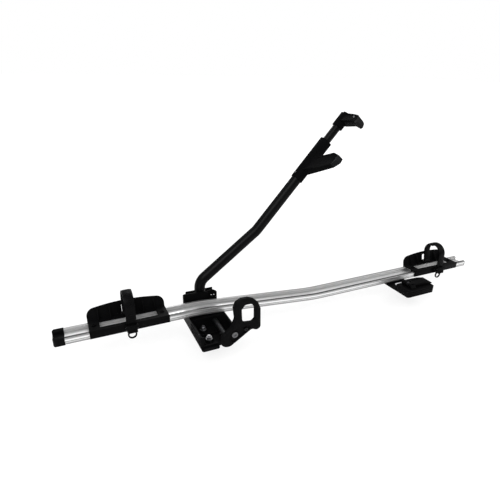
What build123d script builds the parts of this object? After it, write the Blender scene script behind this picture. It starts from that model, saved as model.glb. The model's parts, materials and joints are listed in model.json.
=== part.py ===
from build123d import *
import os
from math import atan2, cos, degrees, hypot, radians, sin, tan

os.makedirs("parts", exist_ok=True)

# Frame: +X to the rear of the car, +Y to the far side of the tray, +Z up.
# The origin is on top of the front crossbar, under the middle of the foot.

# Fits between pieces
SLIDE_FIT = 0.3
SHAFT_FIT = 0.05
CUT_OVERRUN = 2.0

# Wheel tray: two hollow rails and a slotted web, with a gentle step down to the rear bar
TRAY_LENGTH = 1434.0
TRAY_OVERHANG = 370.0
TRAY_WIDTH = 54.0
TRAY_HEIGHT = 20.0
TRAY_SEAT = 49.0
TRAY_DROP = 36.0
BEND_START = 6.0
BEND_RUN = 380.0
BEND_RADIUS = 600.0
RAIL_WIDTH = 11.0
RAIL_RADIUS = 3.6
RAIL_WALL = 1.6
WEB_LEVEL = 7.0
WEB_THICKNESS = 2.0
WEB_TONGUE = 0.8
SLOT_OPENING = 9.0
SLOT_WIDTH = 17.0
SLOT_LIP = 2.0
HOOK_GROOVE_LEVEL = 8.0
HOOK_GROOVE_HEIGHT = 3.0
HOOK_GROOVE_DEPTH = 0.8

# End caps of the tray
CAP_LENGTH = 28.0
CAP_NOSE = 14.0
CAP_SKIN = 1.4
PLUG_DEPTH = 22.0
PLUG_FLANGE = 2.0
PLUG_FIT = 0.1

# Front foot: moulded housing, open on top beside the tray
BASE_LEFT = 31.0
BASE_LENGTH = 106.0
BASE_NEAR = 121.0
BASE_FAR = 78.0
BASE_WALL = 4.0
BASE_FLOOR = 5.0
BASE_HEIGHT = 40.0
BASE_CORNER = 9.0
NEAR_LIP = 13.0
TOE_REACH = 12.0
TOE_LENGTH = 50.0
TOE_THICKNESS = 4.0
SIDE_RIDGE_COUNT = 3
SIDE_RIDGE_HEIGHT = 3.0
SIDE_RIDGE_DEPTH = 1.6
BASE_RIB = 2.6
PAD_THICKNESS = 3.0
PAD_MARGIN = 5.0

# Bolts that clamp the foot in the crossbar's slot
BAR_BOLT_DIAMETER = 8.0
BAR_BOLT_NEAR = 96.0
BAR_BOLT_PITCH = 50.0
BAR_BOLT_BOSS = 22.0
BAR_BOLT_BOSS_HEIGHT = 6.0
T_HEAD_DEPTH = 7.0
T_HEAD_THICKNESS = 4.0
T_HEAD_LENGTH = 22.0
T_HEAD_WIDTH = 14.0
NUT_ACROSS = 13.0
NUT_HEIGHT = 6.5
WASHER_DIAMETER = 18.0
WASHER_THICKNESS = 1.6

# Bolts that hang the tray on its supports by the slot under it
TRAY_BOLT_DIAMETER = 6.0
TRAY_BOLT_PITCH = 46.0
TRAY_BOLT_FROM_LEFT = 17.0
TRAY_BOLT_FROM_RIGHT = 13.0
TRAY_BOLT_HEAD = 12.0
TRAY_BOLT_HEAD_HEIGHT = 3.6
TRAY_NUT_ACROSS = 10.0
TRAY_NUT_HEIGHT = 5.0
SADDLE_WIDTH = 44.0
SADDLE_MARGIN = 4.0

# Turning axis of the arm, across the carrier
AXIS_FROM_RIGHT = 35.0
AXIS_Z = 26.0
SHAFT_DIAMETER = 16.0
BUSH_DIAMETER = 22.0
BUSH_FLANGE_DIAMETER = 27.0
BUSH_FLANGE = 1.5

# Far hinge block: two cheeks on the far end of the foot
ARM_PLANE = 54.0
CHEEK_GAP = 36.0
CHEEK_THICKNESS = 4.0
CHEEK_TOP_LEFT = 92.0
CHEEK_TOP_MIDDLE = 88.0
CHEEK_TOP_RIGHT = 92.0
FAR_CHEEK_DROP = 16.0
FAR_CHEEK_SET_BACK = 20.0
CHEEK_CORNER = 5.0
BACK_WALL = 4.0

# Lock in the near cheek
LOCK_FROM_AXIS = 16.0
LOCK_Z = 76.0
LOCK_DIAMETER = 13.0
LOCK_FACE_DIAMETER = 16.0
LOCK_FACE = 2.5

# Arm: bent tube with a sliding inner tube
TUBE_DIAMETER = 32.0
TUBE_WALL = 2.0
TUBE_FOOT_FORWARD = 15.0
TUBE_FOOT_Z = 74.0
TUBE_KNEE_Z = 113.3
TUBE_ELBOW_REACH = 183.0
TUBE_ELBOW_Z = 250.0
TUBE_UPPER_ANGLE = 48.6
TUBE_UPPER_LENGTH = 323.0
KNEE_RADIUS = 40.0
INNER_DIAMETER = 25.0
INNER_WALL = 1.8
INNER_LAP = 148.0
INNER_START = TUBE_UPPER_LENGTH - INNER_LAP
INNER_LENGTH = 262.0
GUIDE_LENGTH = 24.0

# Arm foot casting
FOOT_HUB_DIAMETER = 27.0
FOOT_WIDTH = 35.2
SPIGOT_LENGTH = 17.0

# Lower jaw, on the end of the outer tube
LOWER_SLEEVE_LAP = 128.5
LOWER_SLEEVE_START = TUBE_UPPER_LENGTH - LOWER_SLEEVE_LAP
LOWER_SLEEVE_LENGTH = 142.0
LOWER_SLEEVE_DIAMETER = 38.0
LOWER_JAW_THICKNESS = 27.0
LOWER_JAW_REACH = 116.0
JAW_ROUND = 5.0
JAW_PANEL_DEPTH = 1.5
PAD_TIP_LENGTH = 13.0

# Upper jaw, on the end of the inner tube
UPPER_SLEEVE_GAP = 66.5
UPPER_SLEEVE_START = TUBE_UPPER_LENGTH + UPPER_SLEEVE_GAP
UPPER_SLEEVE_LENGTH = 55.0
UPPER_SLEEVE_DIAMETER = 34.0
UPPER_JAW_THICKNESS = 28.0
UPPER_JAW_REACH = 88.0

# Handle on the near end of the shaft
HANDLE_THICKNESS = 16.0
HANDLE_REACH = 96.0
HANDLE_HEIGHT = 117.0
HANDLE_ROUND = 3.5
HANDLE_HUB_RADIUS = 22.5
HANDLE_CORNER = 10.0
HANDLE_HOLE_CORNER = 8.0
HANDLE_PANEL_DEPTH = 4.0
CRANK_THICKNESS = 3.0
CRANK_GAP = 0.5
CRANK_WIDTH = 30.0
HANDLE_BOLT_DIAMETER = 8.0
HANDLE_BOLT_HEAD = 17.0
HANDLE_PIN_DIAMETER = 5.0
HANDLE_PIN_HEAD = 10.0

# Wheel holders that slide on the rails of the tray
FRONT_HOLDER_FROM_END = 177.0
REAR_HOLDER_FROM_END = 150.0
HOLDER_LENGTH = 208.0
HOLDER_SKIN = 3.2
HOLDER_BRIDGE = 28.0
HOLDER_FLANGE = 13.0
HOLDER_SKIRT_GAP = 3.0
NEAR_RIM = 6.0
WING_HEIGHT = 45.0
WING_LEAN = 13.0
WING_CORNER = 22.0
WING_CROWN = 10.0
GUSSET_HEIGHT = 28.0
GUSSET_THICKNESS = 2.4
WING_SLOT_LENGTH = 26.0
WING_SLOT_HEIGHT = 25.0
WING_SLOT_LEVEL = 6.0
HOLDER_SCREW_DIAMETER = 6.0
HOLDER_SCREW_HEAD = 11.0
HOLDER_SCREW_HEAD_HEIGHT = 3.0

# Straps of the wheel holders
STRAP_WIDTH = 26.0
STRAP_THICKNESS = 4.0
STRAP_TOP = 89.0
STRAP_FAR = 34.5
STRAP_NEAR = 40.0
STRAP_ARCH_RADIUS = 33.0
STRAP_ANCHOR_Y = 21.0
STRAP_ANCHOR_RISE = 9.2
STRAP_EYE_RADIUS = 5.5
STRAP_PIN_DIAMETER = 5.0
STRAP_LUG_THICKNESS = 3.5
STRAP_TOOTH_COUNT = 9
STRAP_TOOTH_PITCH = 6.0
STRAP_TOOTH_HEIGHT = 1.0
STRAP_BUMP_RADIUS = 7.0
RING_RADIUS = 12.0
RING_HOLE_RADIUS = 8.4
RING_LEVEL = -3.0

# Ratchet pawl that holds the strap on the near side
PAWL_PIN_DIAMETER = 3.0
PAWL_HUB_RADIUS = 3.6
PAWL_PIN_LEVEL = 25.0
PAWL_STAND_OFF = 5.6
PAWL_LENGTH = 17.0
PAWL_THICKNESS = 2.6
BUCKLE_CHEEK = 3.0
BUCKLE_HEIGHT = 24.0

# Rear foot: bracket under the tray and clamp on the near side of it
REAR_FOOT_FROM_END = 332.0
REAR_BRACKET_LENGTH = 84.0
REAR_BRACKET_NEAR = 66.0
REAR_BRACKET_FAR = 34.0
REAR_BRACKET_HEIGHT = 10.0
REAR_CLAMP_LEFT = 38.0
REAR_CLAMP_RIGHT = 74.0
REAR_CLAMP_FROM = 58.0
REAR_CLAMP_TO = 124.0
REAR_CLAMP_HEIGHT = 27.0
REAR_CLAMP_CORNER = 7.0
REAR_RIDGE_COUNT = 3
REAR_RIDGE_STEP = 6.0
REAR_RIDGE_DEPTH = 3.0
CAM_PIVOT_X = 24.0
CAM_PIVOT_Z = 36.0
CAM_PIN_DIAMETER = 7.0
CAM_HUB_RADIUS = 8.5
CAM_WIDTH = 34.0
CAM_LENGTH = 102.0
CAM_THICKNESS = 8.0
CAM_NOSE = 12.0
CAM_LUG_THICKNESS = 6.0
TIE_ROD_DIAMETER = 6.5
TIE_ROD_LENGTH = 26.0

TRAY_TOP = TRAY_SEAT + TRAY_HEIGHT
TRAY_END = TRAY_LENGTH - TRAY_OVERHANG
FRONT_HOLDER_X = FRONT_HOLDER_FROM_END - TRAY_OVERHANG
REAR_HOLDER_X = TRAY_END - REAR_HOLDER_FROM_END
REAR_FOOT_X = TRAY_END - REAR_FOOT_FROM_END
BASE_RIGHT = BASE_LENGTH - BASE_LEFT
AXIS_X = BASE_RIGHT - AXIS_FROM_RIGHT
LOCK_X = AXIS_X + LOCK_FROM_AXIS
TUBE_FOOT_X = AXIS_X - TUBE_FOOT_FORWARD
TUBE_ELBOW_X = TUBE_FOOT_X + TUBE_ELBOW_REACH
REAR_SEAT = TRAY_SEAT - TRAY_DROP
HALF_TRAY = TRAY_WIDTH / 2
RAIL_CENTRE = HALF_TRAY - RAIL_WIDTH / 2


def block(x0, x1, y0, y1, z0, z1):
    """Box between two corners."""
    box = Box(x1 - x0, y1 - y0, z1 - z0, align=(Align.MIN, Align.MIN, Align.MIN))
    return Pos(x0, y0, z0) * box


def rod(start, direction, diameter, length):
    """Round bar from a point along a direction."""
    plane = Plane(origin=start, z_dir=direction)
    return extrude(plane * Circle(diameter / 2), amount=length)


def across(face_points, y0, y1, radius=0):
    """Outline in X and Z, with rounded corners, extruded between two Y planes."""
    if radius:
        line = FilletPolyline(*face_points, radius=radius, close=True)
    else:
        line = Polyline(*face_points, close=True)
    plane = Plane(origin=(0, y1, 0), x_dir=(1, 0, 0), z_dir=(0, -1, 0))
    return extrude(plane * make_face(line), amount=y1 - y0)


def along(face_points, x0, x1, radius=0):
    """Outline in Y and Z extruded between two X planes."""
    if radius:
        line = FilletPolyline(*face_points, radius=radius, close=True)
    else:
        line = Polyline(*face_points, close=True)
    plane = Plane(origin=(x0, 0, 0), x_dir=(0, 1, 0), z_dir=(1, 0, 0))
    return extrude(plane * make_face(line), amount=x1 - x0)


def scaled(shares, wide, high, x0=0.0, z0=0.0):
    """Points given as shares of a width and a height."""
    return [(x0 + wide * u, z0 + high * v) for u, v in shares]


def keep(node, *solids):
    """Write one node; several solids become a group."""
    shape = solids[0] if len(solids) == 1 else Compound(children=list(solids))
    shape.label = node
    export_step(shape, f"parts/{node}.step")


def hexagon(centre, direction, across_flats, height):
    """Hexagonal nut or head with its base on a point."""
    plane = Plane(origin=centre, z_dir=direction)
    return extrude(plane * RegularPolygon(across_flats / 2, 6, major_radius=False), amount=height)


# Tray
def tray_path(level=0.0):
    """Centre line of the tray's underside, lifted by a level."""
    start = (-TRAY_OVERHANG, 0, TRAY_SEAT + level)
    first = (BEND_START, 0, TRAY_SEAT + level)
    second = (BEND_START + BEND_RUN, 0, REAR_SEAT + level)
    end = (TRAY_END, 0, REAR_SEAT + level)
    return FilletPolyline(start, first, second, end, radius=BEND_RADIUS)


def tray_plane():
    """Section plane at the front end of the tray."""
    return Plane(origin=(-TRAY_OVERHANG, 0, TRAY_SEAT), x_dir=(0, 1, 0), z_dir=(1, 0, 0))


def tray_rail(side):
    """Hollow rail with a groove outside for the holders and one inside for the web."""
    middle = Pos(side * RAIL_CENTRE, TRAY_HEIGHT / 2)
    section = middle * RectangleRounded(RAIL_WIDTH, TRAY_HEIGHT, RAIL_RADIUS)
    section -= middle * Rectangle(RAIL_WIDTH - 2 * RAIL_WALL, TRAY_HEIGHT - 2 * RAIL_WALL)
    hook_level = HOOK_GROOVE_LEVEL + HOOK_GROOVE_HEIGHT / 2
    section -= Pos(side * HALF_TRAY, hook_level) * Rectangle(2 * HOOK_GROOVE_DEPTH, HOOK_GROOVE_HEIGHT)
    web_level = WEB_LEVEL + WEB_THICKNESS / 2
    web_groove = Rectangle(2 * WEB_TONGUE, WEB_THICKNESS + 2 * SHAFT_FIT)
    section -= Pos(side * (HALF_TRAY - RAIL_WIDTH), web_level) * web_groove
    return sweep(tray_plane() * section, path=tray_path())


def tray_web():
    """Strip between the rails, its edges let into them, with the slot for the bolts."""
    low = (Align.CENTER, Align.MIN)
    wide = TRAY_WIDTH - 2 * RAIL_WIDTH + 2 * WEB_TONGUE
    section = Pos(0, WEB_LEVEL) * Rectangle(wide, WEB_THICKNESS, align=low)
    section += Rectangle(SLOT_WIDTH + 2 * RAIL_WALL, WEB_LEVEL + WEB_THICKNESS, align=low)
    section -= Pos(0, SLOT_LIP) * Rectangle(SLOT_WIDTH, WEB_LEVEL - SLOT_LIP, align=low)
    section -= Pos(0, -CUT_OVERRUN) * Rectangle(SLOT_OPENING, SLOT_LIP + 2 * CUT_OVERRUN, align=low)
    return sweep(tray_plane() * section, path=tray_path())


def tray_envelope(width, height):
    """Solid bar that follows the tray, to cut what supports it."""
    low = (Align.CENTER, Align.MIN)
    return sweep(tray_plane() * Rectangle(width, height, align=low), path=tray_path())


def cap_outlines(seat_plane, skin):
    """Tray section without its hollows, grown by a skin all round."""
    low = (Align.CENTER, Align.MIN)
    web = Pos(0, WEB_LEVEL - skin) * Rectangle(TRAY_WIDTH - RAIL_WIDTH, WEB_THICKNESS + 2 * skin, align=low)
    web += Pos(0, -skin) * Rectangle(
        SLOT_WIDTH + 2 * (RAIL_WALL + skin), WEB_LEVEL + WEB_THICKNESS + skin, align=low)
    for side in (-1, 1):
        middle = Pos(side * (HALF_TRAY - RAIL_WIDTH / 2), TRAY_HEIGHT / 2)
        web += middle * RectangleRounded(RAIL_WIDTH + 2 * skin, TRAY_HEIGHT + 2 * skin, RAIL_RADIUS + skin)
    return seat_plane * web


def front_end_cap():
    """Two-lobed moulded cap, slipped over the end of the extrusion."""
    plane = tray_plane()
    skirt = CAP_LENGTH - CAP_NOSE
    sleeve = extrude(cap_outlines(plane, CAP_SKIN), amount=skirt)
    sleeve -= extrude(cap_outlines(plane, 0), amount=skirt)
    nose = extrude(cap_outlines(plane, CAP_SKIN), amount=-CAP_NOSE)
    wide = TRAY_WIDTH + 2 * CAP_SKIN
    high = TRAY_HEIGHT + 2 * CAP_SKIN
    plan = extrude(RectangleRounded(2 * CAP_LENGTH, wide, CAP_NOSE), amount=high)
    tip = -TRAY_OVERHANG - CAP_NOSE
    return (sleeve + nose) & (Pos(tip + CAP_LENGTH, 0, TRAY_SEAT - CAP_SKIN) * plan)


def rear_end_plug():
    """Plug with a thin flange, pushed into the hollow rails at the rear end."""
    plane = Plane(origin=(TRAY_END, 0, REAR_SEAT), x_dir=(0, 1, 0), z_dir=(1, 0, 0))
    plug = extrude(cap_outlines(plane, 0), amount=PLUG_FLANGE)
    wide = RAIL_WIDTH - 2 * (RAIL_WALL + PLUG_FIT)
    high = TRAY_HEIGHT - 2 * (RAIL_WALL + PLUG_FIT)
    for side in (-1, 1):
        y = side * (HALF_TRAY - RAIL_WIDTH / 2)
        box = block(TRAY_END - PLUG_DEPTH, TRAY_END, y - wide / 2, y + wide / 2, 0, high)
        tongue = fillet(box.edges().filter_by(Axis.X), RAIL_RADIUS - RAIL_WALL)
        plug += Pos(0, 0, REAR_SEAT + RAIL_WALL + PLUG_FIT) * tongue
    return plug


# Front foot
BASE_BOTTOM = PAD_THICKNESS
FLOOR_TOP = BASE_BOTTOM + BASE_FLOOR
POCKET_FAR = -(HALF_TRAY + BASE_WALL)
SADDLE_LEFT = BASE_LEFT - SADDLE_MARGIN
SADDLE_LENGTH = BASE_LENGTH - 2 * SADDLE_MARGIN
CHEEK_NEAR = ARM_PLANE - CHEEK_GAP / 2 - CHEEK_THICKNESS
CHEEK_FAR = ARM_PLANE + CHEEK_GAP / 2 + CHEEK_THICKNESS
BAR_BOLTS = [(0, -BAR_BOLT_NEAR), (0, -BAR_BOLT_NEAR + BAR_BOLT_PITCH)]
TRAY_BOLTS = [(TRAY_BOLT_FROM_LEFT - BASE_LEFT, 0), (BASE_RIGHT - TRAY_BOLT_FROM_RIGHT, 0)]


def base_housing():
    """Open-topped moulding: ridged side, ribbed floor, seat for the tray, far platform."""
    long_y = BASE_NEAR + BASE_FAR
    plan = RectangleRounded(BASE_LENGTH, long_y, BASE_CORNER)
    centre = Pos(BASE_RIGHT - BASE_LENGTH / 2, BASE_FAR - long_y / 2, BASE_BOTTOM)
    body = centre * extrude(plan, amount=BASE_HEIGHT - BASE_BOTTOM)
    body -= block(-BASE_LEFT - CUT_OVERRUN, BASE_RIGHT + CUT_OVERRUN, CHEEK_NEAR - BUSH_FLANGE - SLIDE_FIT,
                  BASE_FAR + CUT_OVERRUN, FLOOR_TOP, BASE_HEIGHT + CUT_OVERRUN)
    pocket = RectangleRounded(BASE_LENGTH - 2 * BASE_WALL, BASE_NEAR - BASE_WALL + POCKET_FAR,
                              BASE_CORNER - BASE_WALL)
    pocket_y = (POCKET_FAR - BASE_NEAR + BASE_WALL) / 2
    body -= Pos(BASE_RIGHT - BASE_LENGTH / 2, pocket_y, FLOOR_TOP) * extrude(pocket, amount=BASE_HEIGHT)
    rib_top = FLOOR_TOP + BAR_BOLT_BOSS_HEIGHT
    inner_near = -BASE_NEAR + BASE_WALL / 2
    for x in (-BASE_LEFT / 2, 0, BASE_RIGHT * 2 / 3):
        body += block(x - BASE_RIB / 2, x + BASE_RIB / 2, inner_near, POCKET_FAR,
                      FLOOR_TOP - BASE_RIB, rib_top)
    middle = -BAR_BOLT_NEAR + BAR_BOLT_PITCH / 2
    body += block(-BASE_LEFT + BASE_WALL / 2, BASE_RIGHT - BASE_WALL / 2, middle - BASE_RIB / 2,
                  middle + BASE_RIB / 2, FLOOR_TOP - BASE_RIB, rib_top)
    for x, y in BAR_BOLTS:
        body += rod((x, y, FLOOR_TOP - BASE_RIB), (0, 0, 1), BAR_BOLT_BOSS, BAR_BOLT_BOSS_HEIGHT + BASE_RIB)
    body -= block(-BASE_LEFT + BASE_CORNER, AXIS_X - BUSH_FLANGE_DIAMETER / 2 - BASE_WALL,
                  -BASE_NEAR - CUT_OVERRUN, -BASE_NEAR + BASE_WALL + CUT_OVERRUN, NEAR_LIP,
                  BASE_HEIGHT + CUT_OVERRUN)
    ridge_pitch = (BASE_HEIGHT - BASE_BOTTOM) / (SIDE_RIDGE_COUNT + 1)
    straight = BASE_NEAR - BASE_CORNER
    for i in range(SIDE_RIDGE_COUNT):
        z = BASE_BOTTOM + ridge_pitch * (i + 1)
        body += block(-BASE_LEFT - SIDE_RIDGE_DEPTH, -BASE_LEFT + BASE_WALL / 2, -straight, POCKET_FAR,
                      z - SIDE_RIDGE_HEIGHT / 2, z + SIDE_RIDGE_HEIGHT / 2)
    toe = RectangleRounded(TOE_LENGTH, 2 * TOE_REACH, TOE_REACH / 2)
    body += Pos(-BASE_LEFT + TOE_LENGTH / 2, -BASE_NEAR, BASE_BOTTOM) * extrude(toe, amount=TOE_THICKNESS)
    for x, y in BAR_BOLTS:
        body -= rod((x, y, 0), (0, 0, 1), BAR_BOLT_DIAMETER + 2 * SLIDE_FIT, BASE_HEIGHT)
    for x, y in TRAY_BOLTS:
        body -= rod((x, y, 0), (0, 0, 1), TRAY_BOLT_DIAMETER + 2 * SLIDE_FIT, TRAY_TOP)
        body -= hexagon((x, y, BASE_BOTTOM - CUT_OVERRUN), (0, 0, 1), TRAY_NUT_ACROSS + 4 * SLIDE_FIT,
                        BASE_FLOOR + TRAY_NUT_HEIGHT + CUT_OVERRUN)
    body -= rod((AXIS_X, -BASE_NEAR - CUT_OVERRUN, AXIS_Z), (0, 1, 0), BUSH_DIAMETER,
                BASE_WALL + 2 * CUT_OVERRUN)
    body -= rod((AXIS_X, POCKET_FAR - CUT_OVERRUN, AXIS_Z), (0, 1, 0), SHAFT_DIAMETER + 2 * SLIDE_FIT,
                BASE_FAR + TRAY_WIDTH)
    return body


def front_seat_pad():
    """Rubber pad between the foot and the crossbar."""
    long_y = BASE_NEAR + BASE_FAR - 2 * PAD_MARGIN
    plan = RectangleRounded(BASE_LENGTH - 2 * PAD_MARGIN, long_y, BASE_CORNER - PAD_MARGIN)
    pad = Pos(BASE_RIGHT - BASE_LENGTH / 2, (BASE_FAR - BASE_NEAR) / 2) * extrude(plan, amount=PAD_THICKNESS)
    for x, y in BAR_BOLTS:
        pad -= rod((x, y, -CUT_OVERRUN), (0, 0, 1), BAR_BOLT_DIAMETER + 2 * SLIDE_FIT,
                   PAD_THICKNESS + 2 * CUT_OVERRUN)
    for x, y in TRAY_BOLTS:
        pad -= rod((x, y, -CUT_OVERRUN), (0, 0, 1), TRAY_NUT_ACROSS * 2, PAD_THICKNESS + 2 * CUT_OVERRUN)
    return pad


def tray_saddle():
    """Packing whose top follows the underside of the bent tray."""
    saddle = block(-SADDLE_LEFT, SADDLE_LENGTH - SADDLE_LEFT, -SADDLE_WIDTH / 2, SADDLE_WIDTH / 2,
                   BASE_HEIGHT, TRAY_SEAT + WEB_LEVEL / 2)
    saddle -= tray_envelope(TRAY_WIDTH, TRAY_HEIGHT)
    for x, y in TRAY_BOLTS:
        saddle -= rod((x, y, 0), (0, 0, 1), TRAY_BOLT_DIAMETER + 2 * SLIDE_FIT, TRAY_TOP)
    return saddle


def tray_tilt(x):
    """Height of the tray's underside and its slope in degrees, away from the two bends."""
    run = min(max(x - BEND_START, 0), BEND_RUN)
    slope = degrees(atan2(TRAY_DROP, BEND_RUN)) if 0 < run < BEND_RUN else 0
    return TRAY_SEAT - run * TRAY_DROP / BEND_RUN, slope


def slot_bolt(x, y, nut_z):
    """Bolt whose flat head lies in the tray's slot, with its nut below."""
    seat, slope = tray_tilt(x)
    head_z = seat + SLOT_LIP + SLIDE_FIT
    low = (Align.CENTER, Align.CENTER, Align.MIN)
    head = Box(TRAY_BOLT_HEAD, TRAY_BOLT_HEAD, TRAY_BOLT_HEAD_HEIGHT, align=low)
    head = Pos(x, y, head_z) * Rot(0, slope, 0) * head
    shank = rod((x, y, nut_z - SLIDE_FIT), (0, 0, 1), TRAY_BOLT_DIAMETER, head_z - nut_z + 2 * SLIDE_FIT)
    nut = hexagon((x, y, nut_z), (0, 0, 1), TRAY_NUT_ACROSS, TRAY_NUT_HEIGHT)
    nut -= rod((x, y, nut_z - CUT_OVERRUN), (0, 0, 1), TRAY_BOLT_DIAMETER,
               TRAY_NUT_HEIGHT + 2 * CUT_OVERRUN)
    return head + shank, nut


def t_bolt(x, y, nut_seat):
    """Bolt with its head in the crossbar's slot, with washer and domed nut."""
    low = (Align.CENTER, Align.CENTER, Align.MIN)
    head = Box(T_HEAD_WIDTH, T_HEAD_LENGTH, T_HEAD_THICKNESS, align=low)
    head = Pos(x, y, -T_HEAD_DEPTH - T_HEAD_THICKNESS) * head
    top = nut_seat + WASHER_THICKNESS + NUT_HEIGHT + BAR_BOLT_DIAMETER / 2
    shank = rod((x, y, -T_HEAD_DEPTH - T_HEAD_THICKNESS / 2), (0, 0, 1), BAR_BOLT_DIAMETER,
                top + T_HEAD_DEPTH + T_HEAD_THICKNESS / 2)
    washer = rod((x, y, nut_seat), (0, 0, 1), WASHER_DIAMETER, WASHER_THICKNESS)
    nut = hexagon((x, y, nut_seat + WASHER_THICKNESS), (0, 0, 1), NUT_ACROSS, NUT_HEIGHT)
    hole = rod((x, y, nut_seat - CUT_OVERRUN), (0, 0, 1), BAR_BOLT_DIAMETER, NUT_HEIGHT + 3 * CUT_OVERRUN)
    return head + shank, washer - hole, nut - hole


def hinge_block():
    """Two cheeks on a bottom plate, closed at the front, open at the rear for the fold."""
    top_points = [
        (-BASE_LEFT, FLOOR_TOP), (-BASE_LEFT, CHEEK_TOP_LEFT), (AXIS_X, CHEEK_TOP_MIDDLE),
        (LOCK_X, CHEEK_TOP_RIGHT), (BASE_RIGHT - CHEEK_THICKNESS, CHEEK_TOP_MIDDLE - CHEEK_CORNER),
        (BASE_RIGHT - CHEEK_THICKNESS, FLOOR_TOP)]
    body = across(top_points, CHEEK_NEAR, CHEEK_FAR, CHEEK_CORNER)
    body -= block(-BASE_LEFT + BACK_WALL, BASE_RIGHT + CUT_OVERRUN, CHEEK_NEAR + CHEEK_THICKNESS,
                  CHEEK_FAR - CHEEK_THICKNESS, FLOOR_TOP + CHEEK_THICKNESS, CHEEK_TOP_LEFT + CUT_OVERRUN)
    body -= block(-BASE_LEFT - CUT_OVERRUN, BASE_RIGHT, CHEEK_FAR - CHEEK_THICKNESS - CUT_OVERRUN,
                  CHEEK_FAR + CUT_OVERRUN, CHEEK_TOP_LEFT - FAR_CHEEK_DROP, CHEEK_TOP_LEFT + CUT_OVERRUN)
    corner = Polyline(
        (-BASE_LEFT - CUT_OVERRUN, CHEEK_NEAR + 2 * CHEEK_THICKNESS),
        (-BASE_LEFT - CUT_OVERRUN, CHEEK_FAR + CUT_OVERRUN),
        (-BASE_LEFT + FAR_CHEEK_SET_BACK, CHEEK_FAR + CUT_OVERRUN), close=True)
    body -= Pos(0, 0, FLOOR_TOP + CHEEK_THICKNESS) * extrude(make_face(corner), amount=CHEEK_TOP_LEFT)
    body -= rod((AXIS_X, CHEEK_NEAR - CUT_OVERRUN, AXIS_Z), (0, 1, 0), BUSH_DIAMETER,
                CHEEK_GAP + 2 * CHEEK_THICKNESS + 2 * CUT_OVERRUN)
    body -= rod((LOCK_X, CHEEK_NEAR - CUT_OVERRUN, LOCK_Z), (0, 1, 0), LOCK_DIAMETER + 2 * SHAFT_FIT,
                CHEEK_THICKNESS + 2 * CUT_OVERRUN)
    return body


def bush(y_face, flange_side, length):
    """Flanged plain bearing for the shaft."""
    start = (AXIS_X, y_face, AXIS_Z)
    inward = (0, -flange_side, 0)
    outward = (0, flange_side, 0)
    body = rod(start, inward, BUSH_DIAMETER, length)
    body += rod(start, outward, BUSH_FLANGE_DIAMETER, BUSH_FLANGE)
    bore = SHAFT_DIAMETER + 2 * SHAFT_FIT
    return body - rod(start, inward, bore, length) - rod(start, outward, bore, BUSH_FLANGE)


def lock_barrel():
    """Lock cylinder with a keyway, flush with the inside of the cheek."""
    face_y = CHEEK_NEAR - LOCK_FACE - SLIDE_FIT
    barrel = rod((LOCK_X, CHEEK_NEAR - SLIDE_FIT, LOCK_Z), (0, 1, 0), LOCK_DIAMETER,
                 CHEEK_THICKNESS + SLIDE_FIT)
    barrel += rod((LOCK_X, face_y, LOCK_Z), (0, 1, 0), LOCK_FACE_DIAMETER, LOCK_FACE)
    key_wide = LOCK_DIAMETER / 8
    key_high = LOCK_DIAMETER / 2
    return barrel - block(LOCK_X - key_wide / 2, LOCK_X + key_wide / 2, face_y - CUT_OVERRUN, CHEEK_NEAR,
                          LOCK_Z - key_high / 2, LOCK_Z + key_high / 2)


# Arm
UPPER_DIRECTION = (cos(radians(TUBE_UPPER_ANGLE)), 0, sin(radians(TUBE_UPPER_ANGLE)))
UPPER_NORMAL = (-UPPER_DIRECTION[2], 0, UPPER_DIRECTION[0])
ELBOW = (TUBE_ELBOW_X, ARM_PLANE, TUBE_ELBOW_Z)
JAW_PLANE = Plane(origin=ELBOW, x_dir=UPPER_DIRECTION, z_dir=UPPER_NORMAL)


def upper_point(distance):
    """Point on the axis of the straight upper tube, from its elbow."""
    return tuple(ELBOW[i] + distance * UPPER_DIRECTION[i] for i in range(3))


def upper_rod(start, diameter, length):
    """Round bar on the axis of the upper tube."""
    return rod(upper_point(start), UPPER_DIRECTION, diameter, length)


def tube_path():
    foot = (TUBE_FOOT_X, ARM_PLANE, TUBE_FOOT_Z)
    knee = (TUBE_FOOT_X, ARM_PLANE, TUBE_KNEE_Z)
    return FilletPolyline(foot, knee, ELBOW, upper_point(TUBE_UPPER_LENGTH), radius=KNEE_RADIUS)


def arm_tube():
    section = Circle(TUBE_DIAMETER / 2) - Circle(TUBE_DIAMETER / 2 - TUBE_WALL)
    start = Plane(origin=(TUBE_FOOT_X, ARM_PLANE, TUBE_FOOT_Z), z_dir=(0, 0, 1))
    return sweep(start * section, path=tube_path())


def arm_foot():
    """Casting on the shaft with a spigot for the tube."""
    near = ARM_PLANE - FOOT_WIDTH / 2
    half = TUBE_DIAMETER / 2
    hub = FOOT_HUB_DIAMETER / 2
    neck = [(TUBE_FOOT_X - half, TUBE_FOOT_Z), (TUBE_FOOT_X + half, TUBE_FOOT_Z), (AXIS_X + hub, AXIS_Z),
            (AXIS_X, AXIS_Z - hub / 2), (AXIS_X - hub, AXIS_Z)]
    body = across(neck, near, near + FOOT_WIDTH)
    body += rod((AXIS_X, near, AXIS_Z), (0, 1, 0), 2 * hub, FOOT_WIDTH)
    spigot = TUBE_DIAMETER - 2 * TUBE_WALL - 2 * SHAFT_FIT
    body += rod((TUBE_FOOT_X, ARM_PLANE, TUBE_FOOT_Z), (0, 0, 1), spigot, SPIGOT_LENGTH)
    return body - rod((AXIS_X, near - CUT_OVERRUN, AXIS_Z), (0, 1, 0), SHAFT_DIAMETER,
                      FOOT_WIDTH + 2 * CUT_OVERRUN)


def pivot_shaft():
    start = -BASE_NEAR - CRANK_GAP - CRANK_THICKNESS - HANDLE_THICKNESS / 2
    return rod((AXIS_X, start, AXIS_Z), (0, 1, 0), SHAFT_DIAMETER, CHEEK_FAR + BUSH_FLANGE - start)


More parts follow.
